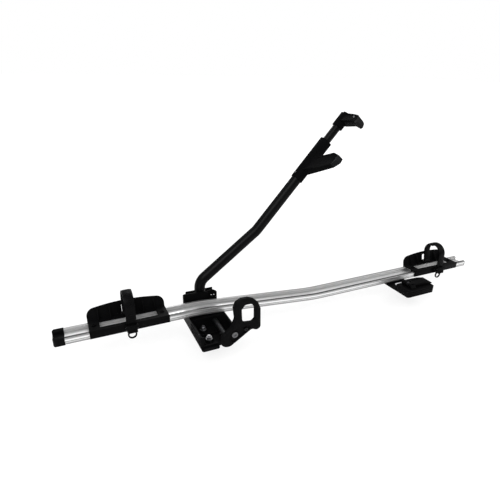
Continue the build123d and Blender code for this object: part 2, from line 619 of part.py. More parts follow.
lower_jaw_shares = [
    (0.19, 0.0), (0.215, -0.147), (0.363, -0.543), (0.532, -0.888), (0.658, -1.0), (0.764, -0.966),
    (0.849, -0.707), (0.68, -0.293), (0.729, -0.155), (0.743, 0.0)]
upper_jaw_shares = [
    (1.0, 0.0), (1.0, -0.5), (0.845, -0.795), (0.68, -0.92), (0.39, -1.0), (0.31, -0.94), (0.404, -0.65),
    (0.28, -0.216), (0.28, 0.0)]


def jaw_prism(shares, start, length, reach, thickness, corner):
    """Claw of a jaw: its outline in the plane of the arm, extruded to both sides."""
    line = FilletPolyline(*scaled(shares, length, reach, start), radius=corner, close=True)
    face = JAW_PLANE.offset(-thickness / 2) * make_face(line)
    return extrude(face, amount=thickness)


def jaw_panel(shares, start, length, reach, thickness, corner):
    """Shallow panel let into both faces of a claw, inside a rim."""
    line = FilletPolyline(*scaled(shares, length, reach, start), radius=corner, close=True)
    panel = offset(make_face(line), amount=-corner)
    top = extrude(JAW_PLANE.offset(thickness / 2 - JAW_PANEL_DEPTH) * panel, amount=thickness)
    bottom = extrude(JAW_PLANE.offset(-thickness / 2 + JAW_PANEL_DEPTH) * panel, amount=-thickness)
    return top + bottom


def jaw_tip(start, reach):
    """Block beyond whose face the claw is rubber."""
    size = reach * 4
    slab = Box(size, size, size, align=(Align.CENTER, Align.MAX, Align.CENTER))
    return JAW_PLANE * (Pos(start, PAD_TIP_LENGTH - reach, 0) * slab)


def lower_jaw():
    claw = jaw_prism(lower_jaw_shares, LOWER_SLEEVE_START, LOWER_SLEEVE_LENGTH, LOWER_JAW_REACH,
                     LOWER_JAW_THICKNESS, JAW_ROUND)
    claw -= jaw_panel(lower_jaw_shares, LOWER_SLEEVE_START, LOWER_SLEEVE_LENGTH, LOWER_JAW_REACH,
                      LOWER_JAW_THICKNESS, JAW_ROUND)
    pad = claw & jaw_tip(LOWER_SLEEVE_START, LOWER_JAW_REACH)
    claw -= jaw_tip(LOWER_SLEEVE_START, LOWER_JAW_REACH)
    body = claw + upper_rod(LOWER_SLEEVE_START, LOWER_SLEEVE_DIAMETER, LOWER_SLEEVE_LENGTH)
    bore = TUBE_UPPER_LENGTH - LOWER_SLEEVE_START
    body -= upper_rod(LOWER_SLEEVE_START - CUT_OVERRUN, TUBE_DIAMETER + 2 * SHAFT_FIT, bore + CUT_OVERRUN)
    body -= upper_rod(LOWER_SLEEVE_START, INNER_DIAMETER + 2 * SHAFT_FIT, LOWER_SLEEVE_LENGTH + CUT_OVERRUN)
    return body, pad


def upper_jaw():
    claw = jaw_prism(upper_jaw_shares, UPPER_SLEEVE_START, UPPER_SLEEVE_LENGTH, UPPER_JAW_REACH,
                     UPPER_JAW_THICKNESS, JAW_ROUND)
    claw -= jaw_panel(upper_jaw_shares, UPPER_SLEEVE_START, UPPER_SLEEVE_LENGTH, UPPER_JAW_REACH,
                      UPPER_JAW_THICKNESS, JAW_ROUND)
    pad = claw & jaw_tip(UPPER_SLEEVE_START, UPPER_JAW_REACH)
    claw -= jaw_tip(UPPER_SLEEVE_START, UPPER_JAW_REACH)
    body = claw + upper_rod(UPPER_SLEEVE_START, UPPER_SLEEVE_DIAMETER, UPPER_SLEEVE_LENGTH)
    depth = INNER_START + INNER_LENGTH - UPPER_SLEEVE_START
    body -= upper_rod(UPPER_SLEEVE_START - CUT_OVERRUN, INNER_DIAMETER + 2 * SHAFT_FIT, depth + CUT_OVERRUN)
    return body, pad


def inner_tube():
    tube = upper_rod(INNER_START, INNER_DIAMETER, INNER_LENGTH)
    return tube - upper_rod(INNER_START - CUT_OVERRUN, INNER_DIAMETER - 2 * INNER_WALL,
                            INNER_LENGTH + 2 * CUT_OVERRUN)


def guide_ring():
    """Plastic ring on the foot of the inner tube that runs in the outer tube."""
    outside = TUBE_DIAMETER - 2 * TUBE_WALL - 2 * SHAFT_FIT
    ring = upper_rod(INNER_START, outside, GUIDE_LENGTH)
    return ring - upper_rod(INNER_START, INNER_DIAMETER, GUIDE_LENGTH)


def cap_screw(seat, direction, shank, head, length, head_height):
    """Round-headed screw with a socket, its head seated on a point."""
    plane = Plane(origin=seat, z_dir=direction)
    screw = extrude(plane * Circle(head / 2), amount=head_height)
    screw += extrude(plane * Circle(shank / 2), amount=-length)
    socket = extrude(plane.offset(head_height / 2) * RegularPolygon(head / 4, 6), amount=head_height)
    return screw - socket


# Handle
handle_outline_shares = [
    (-0.144, 0.152), (0.083, 0.29), (0.198, 0.52), (0.156, 0.80), (0.22, 0.94), (0.38, 1.0),
    (0.58, 1.0), (0.76, 0.94), (0.90, 0.83), (0.98, 0.66), (1.0, 0.137), (0.875, 0.094),
    (0.719, 0.154), (0.131, -0.16)]
handle_hole_shares = [
    (0.42, 0.43), (0.40, 0.72), (0.50, 0.83), (0.69, 0.83), (0.80, 0.72), (0.81, 0.40),
    (0.72, 0.34), (0.50, 0.36)]
handle_panel_shares = [(0.0, 0.06), (0.22, 0.27), (0.60, 0.29), (0.69, 0.21), (0.12, -0.10)]
handle_bolt_shares = (0.19, 0.11)
handle_pin_shares = (0.53, 0.19)
HANDLE_INNER_Y = -(BASE_NEAR + CRANK_GAP + CRANK_THICKNESS)
HANDLE_OUTER_Y = HANDLE_INNER_Y - HANDLE_THICKNESS
handle_holes = [(handle_bolt_shares, HANDLE_BOLT_DIAMETER), (handle_pin_shares, HANDLE_PIN_DIAMETER)]


def on_handle(share):
    """Point of the handle's side view, from the turning axis."""
    return AXIS_X + HANDLE_REACH * share[0], AXIS_Z + HANDLE_HEIGHT * share[1]


def bevelled_rims(body):
    """Body with the edges of its outer and inner side bevelled."""
    sides = body.faces().sort_by(Axis.Y)
    return chamfer(sides[0].edges() + sides[-1].edges(), HANDLE_ROUND)


def handle():
    """Lever with a round hub and a D-shaped grip, its edges bevelled for the hand."""
    outline = [on_handle(share) for share in handle_outline_shares]
    hole = [on_handle(share) for share in handle_hole_shares]
    panel = [on_handle(share) for share in handle_panel_shares]
    grip = across(outline, HANDLE_OUTER_Y, HANDLE_INNER_Y, HANDLE_CORNER)
    grip -= across(hole, HANDLE_OUTER_Y - CUT_OVERRUN, HANDLE_INNER_Y + CUT_OVERRUN, HANDLE_HOLE_CORNER)
    hub = rod((AXIS_X, HANDLE_OUTER_Y, AXIS_Z), (0, 1, 0), 2 * HANDLE_HUB_RADIUS, HANDLE_THICKNESS)
    body = bevelled_rims(grip) + bevelled_rims(hub)
    body -= across(panel, HANDLE_OUTER_Y - CUT_OVERRUN, HANDLE_OUTER_Y + HANDLE_PANEL_DEPTH, HANDLE_ROUND)
    middle = HANDLE_INNER_Y - HANDLE_THICKNESS / 2
    body -= rod((AXIS_X, middle, AXIS_Z), (0, 1, 0), SHAFT_DIAMETER, HANDLE_THICKNESS)
    for share, size in handle_holes:
        x, z = on_handle(share)
        body -= rod((x, HANDLE_OUTER_Y - CUT_OVERRUN, z), (0, 1, 0), size,
                    HANDLE_THICKNESS + 2 * CUT_OVERRUN)
    return body


def crank_plate():
    """Steel plate on the shaft that the handle is bolted to."""
    start = on_handle((0, 0))
    end = on_handle(handle_pin_shares)
    length = hypot(end[0] - start[0], end[1] - start[1])
    angle = degrees(atan2(end[1] - start[1], end[0] - start[0]))
    corner = (start[0], HANDLE_INNER_Y + CRANK_THICKNESS, start[1])
    plane = Plane(origin=corner, x_dir=(1, 0, 0), z_dir=(0, -1, 0))
    bar = Rot(0, 0, angle) * Pos(length / 2, 0) * SlotCenterToCenter(length, CRANK_WIDTH)
    plate = extrude(plane * bar, amount=CRANK_THICKNESS)
    plate -= rod((AXIS_X, HANDLE_INNER_Y - CUT_OVERRUN, AXIS_Z), (0, 1, 0), SHAFT_DIAMETER,
                 CRANK_THICKNESS + 2 * CUT_OVERRUN)
    for share, size in handle_holes:
        x, z = on_handle(share)
        plate -= rod((x, HANDLE_INNER_Y - CUT_OVERRUN, z), (0, 1, 0), size,
                     CRANK_THICKNESS + 2 * CUT_OVERRUN)
    return plate


def handle_screw(share, shank, head):
    """Screw through handle and crank plate."""
    x, z = on_handle(share)
    seat_y = HANDLE_OUTER_Y + HANDLE_PANEL_DEPTH
    length = HANDLE_THICKNESS - HANDLE_PANEL_DEPTH + CRANK_THICKNESS
    return cap_screw((x, seat_y, z), (0, -1, 0), shank, head, length, HANDLE_PANEL_DEPTH)


# Wheel holders, drawn about the middle of the tray's underside
HOLDER_TOP = TRAY_HEIGHT + SLIDE_FIT
HOLDER_INSIDE = HALF_TRAY + SLIDE_FIT
HOLDER_OUTSIDE = HOLDER_INSIDE + HOLDER_SKIN
HALF_HOLDER = HOLDER_LENGTH / 2
ANCHOR_Z = HOLDER_TOP + STRAP_ANCHOR_RISE
PAWL_Y = -(STRAP_NEAR + STRAP_THICKNESS / 2 + PAWL_STAND_OFF)
gusset_shares = [-0.72, -0.42, 0.42, 0.72]


def wing_face():
    """Outline of the wing: upright sides, rounded shoulders and a crowned top."""
    crown_radius = (HALF_HOLDER ** 2 + WING_CROWN ** 2) / (2 * WING_CROWN)
    face = Rectangle(HOLDER_LENGTH, WING_HEIGHT, align=(Align.CENTER, Align.MIN))
    face = face & (Pos(0, WING_HEIGHT - crown_radius) * Circle(crown_radius))
    return fillet(face.vertices().sort_by(Axis.Y)[-2:], WING_CORNER)


def holder_frame():
    """Moulded cradle: skirts hooked in the rails, end bridges, leaning wing with gussets, buckle cheeks."""
    low = HOLDER_SKIRT_GAP
    top = HOLDER_TOP + HOLDER_SKIN
    inner = HALF_TRAY - HOLDER_FLANGE
    groove = HALF_TRAY - HOOK_GROOVE_DEPTH + SLIDE_FIT
    hook_low = HOOK_GROOVE_LEVEL + SLIDE_FIT
    hook_top = HOOK_GROOVE_LEVEL + HOOK_GROOVE_HEIGHT - SLIDE_FIT
    far = [(HOLDER_OUTSIDE, low), (HOLDER_OUTSIDE, top), (inner, top), (inner, HOLDER_TOP),
           (HOLDER_INSIDE, HOLDER_TOP), (HOLDER_INSIDE, hook_top), (groove, hook_top), (groove, hook_low),
           (HOLDER_INSIDE, hook_low), (HOLDER_INSIDE, low)]
    rim = TRAY_HEIGHT + NEAR_RIM
    near = [(-HOLDER_OUTSIDE, low), (-HOLDER_OUTSIDE, rim), (-HOLDER_INSIDE, rim),
            (-HOLDER_INSIDE + HOLDER_SKIN, top), (-inner, top), (-inner, HOLDER_TOP),
            (-HOLDER_INSIDE, HOLDER_TOP), (-HOLDER_INSIDE, hook_top), (-groove, hook_top),
            (-groove, hook_low), (-HOLDER_INSIDE, hook_low), (-HOLDER_INSIDE, low)]
    body = along(far, -HALF_HOLDER, HALF_HOLDER) + along(near, -HALF_HOLDER, HALF_HOLDER)
    for side in (-1, 1):
        x0, x1 = sorted((side * HALF_HOLDER, side * (HALF_HOLDER - HOLDER_BRIDGE)))
        body += block(x0, x1, -inner - HOLDER_SKIN, inner + HOLDER_SKIN, HOLDER_TOP, top)
    lean = Plane(origin=(0, HOLDER_OUTSIDE, TRAY_HEIGHT - HOLDER_SKIN), x_dir=(1, 0, 0),
                 z_dir=(0, -cos(radians(WING_LEAN)), sin(radians(WING_LEAN))))
    wing = extrude(lean * wing_face(), amount=HOLDER_SKIN)
    slot = Pos(0, WING_SLOT_LEVEL + HOLDER_SKIN + WING_SLOT_HEIGHT / 2) * RectangleRounded(
        WING_SLOT_LENGTH, WING_SLOT_HEIGHT, HOLDER_SKIN)
    wing -= extrude(lean.offset(-CUT_OVERRUN) * slot, amount=HOLDER_SKIN + 2 * CUT_OVERRUN)
    body += wing
    base_y = HOLDER_OUTSIDE - HOLDER_SKIN / 2
    tip_y = base_y + GUSSET_HEIGHT * tan(radians(WING_LEAN))
    gusset = [(base_y, top - HOLDER_SKIN / 2), (tip_y, top + GUSSET_HEIGHT),
              (tip_y - HOLDER_SKIN, top + GUSSET_HEIGHT), (inner + HOLDER_SKIN / 2, top + HOLDER_SKIN / 2),
              (inner + HOLDER_SKIN / 2, top - HOLDER_SKIN / 2)]
    for share in gusset_shares:
        x = share * HALF_HOLDER
        body += along(gusset, x - GUSSET_THICKNESS / 2, x + GUSSET_THICKNESS / 2)
    lug_in = STRAP_WIDTH / 2 + SLIDE_FIT
    lug = [(STRAP_ANCHOR_Y - STRAP_EYE_RADIUS, top - HOLDER_SKIN / 2),
           (STRAP_ANCHOR_Y - STRAP_EYE_RADIUS, ANCHOR_Z + STRAP_EYE_RADIUS),
           (STRAP_ANCHOR_Y + STRAP_EYE_RADIUS, ANCHOR_Z + STRAP_EYE_RADIUS),
           (HOLDER_INSIDE, top - HOLDER_SKIN / 2)]
    for side in (-1, 1):
        x0, x1 = sorted((side * lug_in, side * (lug_in + STRAP_LUG_THICKNESS)))
        body += along(lug, x0, x1, STRAP_EYE_RADIUS / 4)
    pin_x = lug_in + STRAP_LUG_THICKNESS + CUT_OVERRUN
    body -= rod((-pin_x, STRAP_ANCHOR_Y, ANCHOR_Z), (1, 0, 0), STRAP_PIN_DIAMETER, 2 * pin_x)
    cheek_low = PAWL_PIN_LEVEL - BUCKLE_HEIGHT + PAWL_HUB_RADIUS
    cheek = [(-HOLDER_OUTSIDE + HOLDER_SKIN / 2, cheek_low),
             (-HOLDER_OUTSIDE + HOLDER_SKIN / 2, rim - HOLDER_SKIN),
             (PAWL_Y + PAWL_HUB_RADIUS, PAWL_PIN_LEVEL + PAWL_HUB_RADIUS),
             (PAWL_Y - PAWL_HUB_RADIUS, PAWL_PIN_LEVEL + PAWL_HUB_RADIUS),
             (PAWL_Y - PAWL_HUB_RADIUS, PAWL_PIN_LEVEL - PAWL_HUB_RADIUS),
             (-HOLDER_OUTSIDE - HOLDER_SKIN, cheek_low)]
    for side in (-1, 1):
        x0, x1 = sorted((side * lug_in, side * (lug_in + BUCKLE_CHEEK)))
        body += along(cheek, x0, x1)
    buckle_x = lug_in + BUCKLE_CHEEK + CUT_OVERRUN
    body -= rod((-buckle_x, PAWL_Y, PAWL_PIN_LEVEL), (1, 0, 0), PAWL_PIN_DIAMETER, 2 * buckle_x)
    for side in (-1, 1):
        body -= rod((side * (HALF_HOLDER - HOLDER_BRIDGE / 2), 0, HOLDER_TOP - CUT_OVERRUN), (0, 0, 1),
                    HOLDER_SCREW_DIAMETER, HOLDER_SKIN + 2 * CUT_OVERRUN)
    return body


def strap():
    """Ladder strap: eye on its pin, arch over the wheel, toothed tail with a finger ring."""
    apex = TRAY_HEIGHT + STRAP_TOP - STRAP_THICKNESS / 2
    teeth_low = PAWL_PIN_LEVEL - STRAP_TOOTH_PITCH * 2
    route = FilletPolyline(
        (0, STRAP_ANCHOR_Y, ANCHOR_Z + STRAP_EYE_RADIUS / 2), (0, STRAP_FAR, apex), (0, -STRAP_NEAR, apex),
        (0, -STRAP_NEAR, RING_LEVEL + RING_RADIUS - STRAP_THICKNESS / 2), radius=STRAP_ARCH_RADIUS)
    first = Vector(0, STRAP_FAR - STRAP_ANCHOR_Y, apex - ANCHOR_Z - STRAP_EYE_RADIUS / 2)
    start = Plane(origin=(0, STRAP_ANCHOR_Y, ANCHOR_Z + STRAP_EYE_RADIUS / 2), x_dir=(1, 0, 0), z_dir=first)
    band = sweep(start * Rectangle(STRAP_WIDTH, STRAP_THICKNESS), path=route)
    eye = rod((-STRAP_WIDTH / 2, STRAP_ANCHOR_Y, ANCHOR_Z), (1, 0, 0), 2 * STRAP_EYE_RADIUS, STRAP_WIDTH)
    band += eye
    face = -(STRAP_NEAR + STRAP_THICKNESS / 2)
    for i in range(STRAP_TOOTH_COUNT):
        z = teeth_low + STRAP_TOOTH_PITCH * i
        tooth = [(face + STRAP_TOOTH_HEIGHT, z), (face - STRAP_TOOTH_HEIGHT, z + STRAP_TOOTH_PITCH / 2),
                 (face + STRAP_TOOTH_HEIGHT, z + STRAP_TOOTH_PITCH / 2)]
        band += along(tooth, -STRAP_WIDTH / 3, STRAP_WIDTH / 3)
    half = (STRAP_WIDTH - STRAP_THICKNESS) / 2
    bump = rod((-half, 0, apex - STRAP_THICKNESS / 2), (1, 0, 0), 2 * STRAP_BUMP_RADIUS, 2 * half)
    bump -= block(-STRAP_WIDTH, STRAP_WIDTH, -2 * STRAP_BUMP_RADIUS, 2 * STRAP_BUMP_RADIUS,
                  apex - STRAP_THICKNESS / 4, apex + 2 * STRAP_BUMP_RADIUS)
    band += bump
    ring_y = -STRAP_NEAR - STRAP_THICKNESS / 2
    ring = rod((0, ring_y, RING_LEVEL), (0, 1, 0), 2 * RING_RADIUS, STRAP_THICKNESS)
    band += ring
    band -= rod((0, ring_y - CUT_OVERRUN, RING_LEVEL), (0, 1, 0), 2 * RING_HOLE_RADIUS,
                STRAP_THICKNESS + 2 * CUT_OVERRUN)
    return band - rod((-STRAP_WIDTH, STRAP_ANCHOR_Y, ANCHOR_Z), (1, 0, 0),
                      STRAP_PIN_DIAMETER + 2 * SHAFT_FIT, 2 * STRAP_WIDTH)


def strap_pin():
    reach = STRAP_WIDTH / 2 + SLIDE_FIT + STRAP_LUG_THICKNESS
    return rod((-reach, STRAP_ANCHOR_Y, ANCHOR_Z), (1, 0, 0), STRAP_PIN_DIAMETER, 2 * reach)


def pawl_pin():
    reach = STRAP_WIDTH / 2 + SLIDE_FIT + BUCKLE_CHEEK
    return rod((-reach, PAWL_Y, PAWL_PIN_LEVEL), (1, 0, 0), PAWL_PIN_DIAMETER, 2 * reach)


def pawl():
    """Release lever with the tooth that catches the ladder of the strap."""
    half = STRAP_WIDTH / 2
    body = rod((-half, PAWL_Y, PAWL_PIN_LEVEL), (1, 0, 0), 2 * PAWL_HUB_RADIUS, STRAP_WIDTH)
    outer = PAWL_Y - PAWL_HUB_RADIUS
    lever = [(outer, PAWL_PIN_LEVEL), (outer - PAWL_THICKNESS / 2, PAWL_PIN_LEVEL - PAWL_LENGTH),
             (outer + PAWL_THICKNESS / 2, PAWL_PIN_LEVEL - PAWL_LENGTH),
             (outer + PAWL_THICKNESS, PAWL_PIN_LEVEL)]
    body += along(lever, -half, half)
    catch_y = -(STRAP_NEAR + STRAP_THICKNESS / 2 + STRAP_TOOTH_HEIGHT + SLIDE_FIT)
    catch = [(PAWL_Y, PAWL_PIN_LEVEL + PAWL_HUB_RADIUS / 2), (catch_y, PAWL_PIN_LEVEL),
             (PAWL_Y, PAWL_PIN_LEVEL - PAWL_HUB_RADIUS / 2)]
    body += along(catch, -STRAP_WIDTH / 3, STRAP_WIDTH / 3)
    return body - rod((-STRAP_WIDTH, PAWL_Y, PAWL_PIN_LEVEL), (1, 0, 0),
                      PAWL_PIN_DIAMETER + 2 * SHAFT_FIT, 2 * STRAP_WIDTH)


def holder_screws():
    """Clamp screws of a holder, through its end bridges down to the web of the tray."""
    depth = HOLDER_TOP - WEB_LEVEL - WEB_THICKNESS - SLIDE_FIT + HOLDER_SKIN
    screws = []
    for side in (-1, 1):
        seat = (side * (HALF_HOLDER - HOLDER_BRIDGE / 2), 0, HOLDER_TOP + HOLDER_SKIN)
        screws.append(cap_screw(seat, (0, 0, 1), HOLDER_SCREW_DIAMETER, HOLDER_SCREW_HEAD, depth,
                                HOLDER_SCREW_HEAD_HEIGHT))
    return screws


# Rear foot
FOOT_LEFT = REAR_FOOT_X - REAR_CLAMP_LEFT
FOOT_RIGHT = REAR_FOOT_X + REAR_CLAMP_RIGHT
CAM_X = FOOT_LEFT + CAM_PIVOT_X
CAM_MIDDLE = -(REAR_CLAMP_FROM + REAR_CLAMP_TO) / 2
CAM_NEAR = CAM_MIDDLE - CAM_WIDTH / 2
CAM_FAR = CAM_MIDDLE + CAM_WIDTH / 2
EYE_HALF = BAR_BOLT_DIAMETER / 2 + SLIDE_FIT
TIE_ROD_Y = CAM_FAR + SLIDE_FIT + CAM_LUG_THICKNESS + TIE_ROD_DIAMETER
TIE_ROD_Z = REAR_CLAMP_HEIGHT - TIE_ROD_DIAMETER / 4
TIE_ROD_START = (FOOT_LEFT - CUT_OVERRUN, TIE_ROD_Y, TIE_ROD_Z)
REAR_BOLTS = [(REAR_FOOT_X - TRAY_BOLT_PITCH / 2, 0), (REAR_FOOT_X + TRAY_BOLT_PITCH / 2, 0)]


def rear_bracket():
    """Bracket under the tray, stepped down beside it to carry the clamp."""
    half = REAR_BRACKET_LENGTH / 2
    body = block(REAR_FOOT_X - half, REAR_FOOT_X + half, -REAR_BRACKET_NEAR, REAR_BRACKET_FAR,
                 PAD_THICKNESS, PAD_THICKNESS + REAR_BRACKET_HEIGHT / 2)
    body = fillet(body.edges().filter_by(Axis.Z), BASE_CORNER)
    body += block(REAR_FOOT_X - half + BASE_CORNER, REAR_FOOT_X + half - BASE_CORNER, -HALF_TRAY, HALF_TRAY,
                  PAD_THICKNESS, REAR_SEAT)
    for x, y in REAR_BOLTS:
        body -= rod((x, y, 0), (0, 0, 1), TRAY_BOLT_DIAMETER + 2 * SLIDE_FIT, REAR_SEAT + CUT_OVERRUN)
        body -= hexagon((x, y, 0), (0, 0, 1), TRAY_NUT_ACROSS + 4 * SLIDE_FIT,
                        PAD_THICKNESS + TRAY_NUT_HEIGHT)
    return body


def rear_seat_pad():
    half = REAR_BRACKET_LENGTH / 2 - PAD_MARGIN
    long_y = REAR_CLAMP_TO + REAR_BRACKET_FAR - 2 * PAD_MARGIN
    plan = RectangleRounded(2 * half, long_y, BASE_CORNER - PAD_MARGIN)
    pad = Pos(REAR_FOOT_X, (REAR_BRACKET_FAR - REAR_CLAMP_TO) / 2) * extrude(plan, amount=PAD_THICKNESS)
    for x, y in REAR_BOLTS:
        pad -= rod((x, y, -CUT_OVERRUN), (0, 0, 1), TRAY_NUT_ACROSS * 2, PAD_THICKNESS + 2 * CUT_OVERRUN)
    return pad - rod((CAM_X, CAM_MIDDLE, -CUT_OVERRUN), (0, 0, 1), BAR_BOLT_DIAMETER + 2 * SLIDE_FIT,
                     PAD_THICKNESS + 2 * CUT_OVERRUN)


def rear_clamp_body():
    """Moulded clamp beside the tray, with stepped ridges and the fork of the cam lever."""
    low = PAD_THICKNESS
    top = REAR_CLAMP_HEIGHT
    near, far = -REAR_CLAMP_TO, -REAR_CLAMP_FROM
    body = block(FOOT_LEFT, FOOT_RIGHT, near, far, low, top)
    body = fillet(body.edges().filter_by(Axis.Z), REAR_CLAMP_CORNER)
    foot = PAD_THICKNESS + REAR_BRACKET_HEIGHT / 2 + SLIDE_FIT
    body -= block(FOOT_LEFT - CUT_OVERRUN, FOOT_RIGHT + CUT_OVERRUN, -REAR_BRACKET_NEAR - SLIDE_FIT,
                  far + CUT_OVERRUN, low - CUT_OVERRUN, foot - SLIDE_FIT)
    for i in range(REAR_RIDGE_COUNT):
        z = low + REAR_RIDGE_STEP * (i + 0.5)
        body += block(FOOT_RIGHT - REAR_CLAMP_CORNER, FOOT_RIGHT + REAR_RIDGE_DEPTH,
                      near + REAR_CLAMP_CORNER, far - REAR_CLAMP_CORNER, z, z + REAR_RIDGE_STEP / 2)
        body += block(FOOT_LEFT + REAR_CLAMP_CORNER, FOOT_RIGHT - REAR_CLAMP_CORNER,
                      near - REAR_RIDGE_DEPTH / 2, near + REAR_RIDGE_DEPTH, z, z + REAR_RIDGE_STEP / 2)
    lug = [(CAM_X - CAM_HUB_RADIUS, top - CAM_LUG_THICKNESS),
           (CAM_X - CAM_HUB_RADIUS, CAM_PIVOT_Z + CAM_HUB_RADIUS / 2),
           (CAM_X + CAM_HUB_RADIUS, CAM_PIVOT_Z + CAM_HUB_RADIUS / 2),
           (CAM_X + 2 * CAM_HUB_RADIUS, top - CAM_LUG_THICKNESS)]
    for y in (CAM_NEAR - SLIDE_FIT - CAM_LUG_THICKNESS, CAM_FAR + SLIDE_FIT):
        body += across(lug, y, y + CAM_LUG_THICKNESS, CAM_HUB_RADIUS / 4)
    body -= rod(TIE_ROD_START, (1, 0, 0), TIE_ROD_DIAMETER, TIE_ROD_LENGTH + CUT_OVERRUN)
    return body - rod((CAM_X, CAM_MIDDLE, 0), (0, 0, 1), BAR_BOLT_DIAMETER + 2 * SLIDE_FIT, CAM_PIVOT_Z)


def tie_rod():
    """Bright cross rod let into the top of the clamp."""
    return rod(TIE_ROD_START, (1, 0, 0), TIE_ROD_DIAMETER, TIE_ROD_LENGTH + CUT_OVERRUN)


def cam_pin():
    return rod((CAM_X, CAM_NEAR, CAM_PIVOT_Z), (0, 1, 0), CAM_PIN_DIAMETER, CAM_WIDTH)


def eye_bolt():
    """Bolt that the cam lever pulls up, its eye round the cam pin."""
    bottom = -T_HEAD_DEPTH - T_HEAD_THICKNESS
    body = rod((CAM_X, CAM_MIDDLE, bottom), (0, 0, 1), BAR_BOLT_DIAMETER, CAM_PIVOT_Z - bottom)
    eye = 2 * CAM_HUB_RADIUS - BAR_BOLT_DIAMETER / 4
    body += rod((CAM_X, CAM_MIDDLE - BAR_BOLT_DIAMETER / 2, CAM_PIVOT_Z), (0, 1, 0), eye, BAR_BOLT_DIAMETER)
    return body - rod((CAM_X, CAM_NEAR, CAM_PIVOT_Z), (0, 1, 0), CAM_PIN_DIAMETER, CAM_WIDTH)


def channel_nut():
    """Oblong nut in the slot of the rear crossbar."""
    bottom = -T_HEAD_DEPTH - T_HEAD_THICKNESS
    low = (Align.CENTER, Align.CENTER, Align.MIN)
    plate = Pos(CAM_X, CAM_MIDDLE, bottom) * Box(T_HEAD_WIDTH, T_HEAD_LENGTH, T_HEAD_THICKNESS, align=low)
    return plate - rod((CAM_X, CAM_MIDDLE, bottom - CUT_OVERRUN), (0, 0, 1), BAR_BOLT_DIAMETER,
                       T_HEAD_THICKNESS * 2)


def cam_lever():
    """Forked cam lever lying along the top of the clamp, with a down-turned nose."""
    under = REAR_CLAMP_HEIGHT + SLIDE_FIT
    top = CAM_PIVOT_Z + CAM_HUB_RADIUS
    end = CAM_X + CAM_LENGTH - CAM_HUB_RADIUS
    line = [(CAM_X, under + CAM_THICKNESS / 2), (CAM_X, top),
            (CAM_X + CAM_LENGTH / 2, top - CAM_THICKNESS / 4),
            (end - CAM_NOSE, under + CAM_THICKNESS + CAM_THICKNESS / 4), (end, under + CAM_THICKNESS / 4),
            (end - CAM_NOSE, under), (CAM_X + 2 * CAM_HUB_RADIUS, under + CAM_THICKNESS / 2)]
    body = across(line, CAM_NEAR, CAM_FAR, CAM_THICKNESS / 8)
    body += rod((CAM_X, CAM_NEAR, CAM_PIVOT_Z), (0, 1, 0), 2 * CAM_HUB_RADIUS, CAM_WIDTH)
    body -= block(CAM_X + 2 * CAM_HUB_RADIUS, end - 2 * CAM_NOSE, CAM_NEAR + CAM_THICKNESS,
                  CAM_FAR - CAM_THICKNESS, top - CAM_THICKNESS / 2, top + CUT_OVERRUN)
    body -= block(CAM_X - 2 * CAM_HUB_RADIUS, CAM_X + CAM_HUB_RADIUS + SLIDE_FIT, CAM_MIDDLE - EYE_HALF,
                  CAM_MIDDLE + EYE_HALF, 0, top + CUT_OVERRUN)
    return body - rod((CAM_X, CAM_NEAR - CUT_OVERRUN, CAM_PIVOT_Z), (0, 1, 0),
                      CAM_PIN_DIAMETER + 2 * SHAFT_FIT, CAM_WIDTH + 2 * CUT_OVERRUN)


# Write every node
keep("near_rail", tray_rail(-1))
keep("far_rail", tray_rail(1))
keep("tray_web", tray_web())
keep("front_end_cap", front_end_cap())
keep("rear_end_plug", rear_end_plug())
keep("base_housing", base_housing())
keep("front_seat_pad", front_seat_pad())
keep("tray_saddle", tray_saddle())
keep("hinge_block", hinge_block())
keep("shaft_bushes",
     bush(-BASE_NEAR + BASE_WALL, 1, BASE_WALL),
     bush(CHEEK_NEAR, -1, CHEEK_THICKNESS),
     bush(CHEEK_FAR, 1, CHEEK_THICKNESS))
keep("lock_barrel", lock_barrel())

front_slot_bolts = [slot_bolt(x, y, FLOOR_TOP) for x, y in TRAY_BOLTS]
keep("front_tray_bolts", *[pair[0] for pair in front_slot_bolts])
keep("front_tray_nuts", *[pair[1] for pair in front_slot_bolts])
front_t_bolts = [t_bolt(x, y, FLOOR_TOP + BAR_BOLT_BOSS_HEIGHT) for x, y in BAR_BOLTS]
keep("front_t_bolts", *[trio[0] for trio in front_t_bolts])
keep("front_bolt_washers", *[trio[1] for trio in front_t_bolts])
keep("front_bolt_nuts", *[trio[2] for trio in front_t_bolts])

keep("pivot_shaft", pivot_shaft())
keep("arm_foot", arm_foot())
keep("arm_tube", arm_tube())
jaw, pad = lower_jaw()
keep("lower_jaw", jaw)
keep("lower_jaw_pad", pad)
jaw, pad = upper_jaw()
keep("upper_jaw", jaw)
keep("upper_jaw_pad", pad)
keep("inner_tube", inner_tube())
keep("guide_ring", guide_ring())
keep("handle", handle())
keep("crank_plate", crank_plate())
keep("handle_bolt", handle_screw(handle_bolt_shares, HANDLE_BOLT_DIAMETER, HANDLE_BOLT_HEAD))
keep("handle_pin", handle_screw(handle_pin_shares, HANDLE_PIN_DIAMETER, HANDLE_PIN_HEAD))

for name, x, z in (("front", FRONT_HOLDER_X, TRAY_SEAT), ("rear", REAR_HOLDER_X, REAR_SEAT)):
    at = Pos(x, 0, z)
    keep(f"{name}_holder", at * holder_frame())
    keep(f"{name}_strap", at * strap())
    keep(f"{name}_strap_pin", at * strap_pin())
    keep(f"{name}_pawl_pin", at * pawl_pin())
    keep(f"{name}_pawl", at * pawl())
    keep(f"{name}_holder_screws", *[at * screw for screw in holder_screws()])

